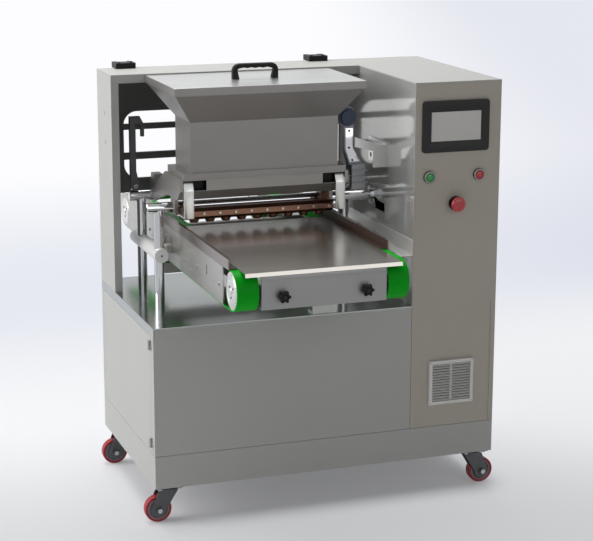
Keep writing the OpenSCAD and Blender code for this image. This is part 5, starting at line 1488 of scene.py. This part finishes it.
@dataclass
class Studio:
    """Floor, lamps, world and camera.

    Attributes:
        floor_reach: How far the floor runs from the middle.
        footprint: Half the size of the machine's shadowed patch on the floor.
        footprint_middle: Middle of that patch.
        under_share: How much of the floor's own glow shows on the patch.
        beside_share: The same beside the patch, where this glow paints light over the machine's shadow.
        beside_span: Distance from the patch over which the first becomes the second.
        fade_span: Distance over which the glow becomes whole.
        view_heading: Direction in which the camera looks over the floor.
        near_colour: Glow of the floor near the camera, darker as painted shade.
        light_colour: Glow of the floor behind the machine.
        near_span: Distance along the view over which the first becomes the second.
        haze_colour: Glow of the backdrop where it starts.
        rear_colour: Glow of the backdrop far away.
        rear_span: Y over which the first becomes the second.
        side_colour: Glow of the backdrop on the right.
        side_span: Distance over which that glow comes in.
        side_share: How much of it comes in.
        side_slant: How far its edge leans with distance.
        light_span: Distance along the view over which the floor becomes the backdrop.
        world_strength: Strength of the light from all round.
        seen_strength: Strength of the background where it is seen or mirrored.
    """

    floor_reach: float = 40.0
    footprint: Point = (0.45, 0.245, 0.0)
    footprint_middle: Point = (0.0, 0.0175, 0.0)
    under_share: float = 0.2
    beside_share: float = 0.72
    beside_span: Span = (0.0, 0.14)
    fade_span: Span = (0.25, 2.2)
    view_heading: Point = (0.333, 0.943, 0.0)
    near_colour: str = "#cdced0"
    light_colour: str = "#f3f4f6"
    near_span: Span = (-0.6, 0.5)
    haze_colour: str = "#e6e9f1"
    rear_colour: str = "#fdfdff"
    rear_span: Span = (2.4, 5.4)
    side_colour: str = "#d4d7e4"
    side_span: Span = (0.0, 2.4)
    side_share: float = 0.6
    side_slant: float = 0.35
    light_span: Span = (0.9, 2.3)
    world_colour: str = "#f2f3f7"
    world_strength: float = 0.20
    seen_strength: float = 0.8
    lens_mm: float = 106.32
    sensor_mm: float = 36.0
    camera_place: Point = (-1.6287, -4.6207, 1.7916)
    camera_yaw: float = -0.338913
    camera_pitch: float = 0.235455
    camera_roll: float = 0.002478
    lamps: list[Lamp] = field(default_factory=lambda: [
        Lamp("left_softbox", (-4.2, 0.6, 2.6), (0, 0, 0.7), 3.2, 165.0),
        Lamp("top_softbox", (-0.4, 1.2, 4.2), (0, 0, 0.8), 3.0, 150.0),
        Lamp("front_fill", (1.5, -5.0, 2.4), (0, 0, 0.6), 3.0, 30.0),
    ])

    def build(self) -> None:
        """Build the whole studio."""
        self.floor()
        for lamp in self.lamps:
            lamp.build()
        self.world()
        self.camera()
        bpy.context.scene.view_settings.view_transform = "Standard"

    def floor(self) -> None:
        """Lay a plain pale floor that runs into a white background behind the machine."""
        reach = self.floor_reach
        corners = [(-reach, -reach, 0), (reach, -reach, 0), (reach, reach, 0), (-reach, reach, 0)]
        data = bpy.data.meshes.new("studio_floor")
        data.from_pydata(corners, [], [(0, 1, 2, 3)])
        material = material_of(STUDIO_FLOOR)
        self.fade(material.node_tree)
        data.materials.append(material)
        floor = bpy.data.objects.new("studio_floor", data)
        bpy.context.scene.collection.objects.link(floor)

    def fade(self, tree: bpy.types.NodeTree) -> None:
        """Let the floor glow more with distance, where it is seen or mirrored, until it is a pale backdrop.

        The light that the floor throws on the object is unchanged.

        Args:
            tree: Nodes of the floor's material, with one shader.
        """
        output = next(node for node in tree.nodes if node.type == "OUTPUT_MATERIAL")
        lit = output.inputs["Surface"].links[0].from_socket
        place = add_node(tree, "ShaderNodeTexCoord").outputs["Object"]
        share = add_node(tree, "ShaderNodeMath", {
            0: self.glow_share(tree, place), 1: seen_ray(tree)}, operation="MULTIPLY")
        glow = add_node(tree, "ShaderNodeEmission", {"Color": self.glow_colour(tree, place), "Strength": 1.0})
        both = add_node(tree, "ShaderNodeMixShader", {0: share.outputs[0], 1: lit, 2: glow.outputs[0]})
        tree.links.new(both.outputs[0], output.inputs["Surface"])

    def glow_share(self, tree: bpy.types.NodeTree, place: Socket) -> Socket:
        """Work out how much of the floor's look is glow, by the distance from the machine's patch.

        Args:
            tree: Nodes of the floor's material.
            place: Point on the floor.

        Returns:
            The share, from 0 to 1.
        """
        outside = place
        for operation, value in (("SUBTRACT", self.footprint_middle), ("ABSOLUTE", ORIGIN),
                                 ("SUBTRACT", self.footprint), ("MAXIMUM", ORIGIN)):
            node = add_node(tree, "ShaderNodeVectorMath", {0: outside, 1: value}, operation=operation)
            outside = node.outputs[0]
        gap = add_node(tree, "ShaderNodeVectorMath", {0: outside}, operation="LENGTH").outputs["Value"]
        # Beside the patch most of the floor's look is painted glow, which lifts the machine's shadow there.
        beside, far = (
            add_node(tree, "ShaderNodeMapRange", {"Value": gap, 1: span[0], 2: span[1], 3: low, 4: high},
                     interpolation_type="SMOOTHSTEP").outputs[0]
            for span, low, high in ((self.beside_span, self.under_share, self.beside_share),
                                    (self.fade_span, 0.0, 1 - self.beside_share)))
        return add_node(tree, "ShaderNodeMath", {0: beside, 1: far}, operation="ADD").outputs[0]

    def glow_colour(self, tree: bpy.types.NodeTree, place: Socket) -> Socket:
        """Work out the colour of the floor's glow, from the floor near the camera to the far backdrop.

        Args:
            tree: Nodes of the floor's material.
            place: Point on the floor.

        Returns:
            The colour.
        """
        across, away, _ = add_node(tree, "ShaderNodeSeparateXYZ", {"Vector": place}).outputs
        depth = add_node(tree, "ShaderNodeVectorMath", {
            0: place, 1: self.view_heading}, operation="DOT_PRODUCT").outputs["Value"]
        slant = add_node(tree, "ShaderNodeMath", {
            0: away, 1: -self.side_slant, 2: across}, operation="MULTIPLY_ADD").outputs[0]
        behind = add_node(tree, "ShaderNodeMath", {
            0: slant, 1: -self.side_slant, 2: depth}, operation="MULTIPLY_ADD").outputs[0]
        rear = self.run_into(tree, away, self.rear_span, linear(self.haze_colour), linear(self.rear_colour))
        backdrop = self.run_into(tree, slant, self.side_span, rear, linear(self.side_colour), self.side_share)
        # The darker glow near the camera is painted shade on the floor.
        near = self.run_into(tree, depth, self.near_span, linear(self.near_colour), linear(self.light_colour))
        return self.run_into(tree, behind, self.light_span, near, backdrop)

    def run_into(self, tree: bpy.types.NodeTree, value: Socket, span: Span, one: Socket | Colour,
                 two: Socket | Colour, share: float = 1.0) -> Socket:
        """Let one colour run smoothly into another.

        Args:
            tree: Nodes of the floor's material.
            value: Number that drives the change.
            span: Where the change starts and ends.
            one: First colour.
            two: Second colour.
            share: How much of the second colour there is at the end.

        Returns:
            The colour.
        """
        ramp = add_node(tree, "ShaderNodeMapRange", {
            "Value": value, 1: span[0], 2: span[1], 3: 0.0, 4: share}, interpolation_type="SMOOTHSTEP")
        mix = add_node(tree, "ShaderNodeMix", {0: ramp.outputs[0], 6: one, 7: two}, data_type="RGBA")
        return mix.outputs[2]

    def world(self) -> None:
        """Give even light from all round and a pale background."""
        world = bpy.data.worlds.new("studio_world")
        bpy.context.scene.world = world
        world.use_nodes = True
        tree = world.node_tree
        tree.nodes.clear()
        strength = add_node(tree, "ShaderNodeMapRange", {
            "Value": seen_ray(tree), 3: self.world_strength, 4: self.seen_strength})
        light = add_node(tree, "ShaderNodeBackground", {
            "Color": linear(self.world_colour), "Strength": strength.outputs[0]})
        add_node(tree, "ShaderNodeOutputWorld", {"Surface": light.outputs[0]})

    def camera(self) -> None:
        """Place the camera where the photograph was taken from."""
        yaw, pitch, roll = self.camera_yaw, self.camera_pitch, self.camera_roll
        back = Vector((math.sin(yaw) * math.cos(pitch), -math.cos(yaw) * math.cos(pitch), math.sin(pitch)))
        right = Vector((math.cos(yaw), math.sin(yaw), 0))
        up = back.cross(right)
        across = right * math.cos(roll) + up * math.sin(roll)
        above = up * math.cos(roll) - right * math.sin(roll)
        data = bpy.data.cameras.new("photo_camera")
        data.sensor_width = self.sensor_mm
        data.sensor_fit = "HORIZONTAL"
        data.lens = self.lens_mm
        camera = bpy.data.objects.new("photo_camera", data)
        bpy.context.scene.collection.objects.link(camera)
        turned = Matrix((across, above, back)).transposed().to_4x4()
        camera.matrix_world = Matrix.Translation(self.camera_place) @ turned
        bpy.context.scene.camera = camera


def dress_cad_nodes() -> None:
    """Give every CAD node its finish."""
    for finish, names in CAD_FINISHES.items():
        for name in names:
            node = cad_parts[name]
            node.data.materials.clear()
            node.data.materials.append(material_of(finish))
            LOG.info("node %s in %s", name, finish.name)


def main() -> None:
    """Dress the frame, build the sub-assemblies and set up the studio."""
    logging.basicConfig(level=logging.INFO, format="%(message)s")
    dress_cad_nodes()
    for part in (Castors(), ControlPanel(), HopperLid(), StarKnobs(), Fasteners(), VentShadeMat(), FrontCap(),
                 FeedDrive(), HeadFittings(), PulleyCaps(), WearStrips(), Studio()):
        LOG.info("building %s", type(part).__name__)
        part.build()


if __name__ == "__main__":
    main()
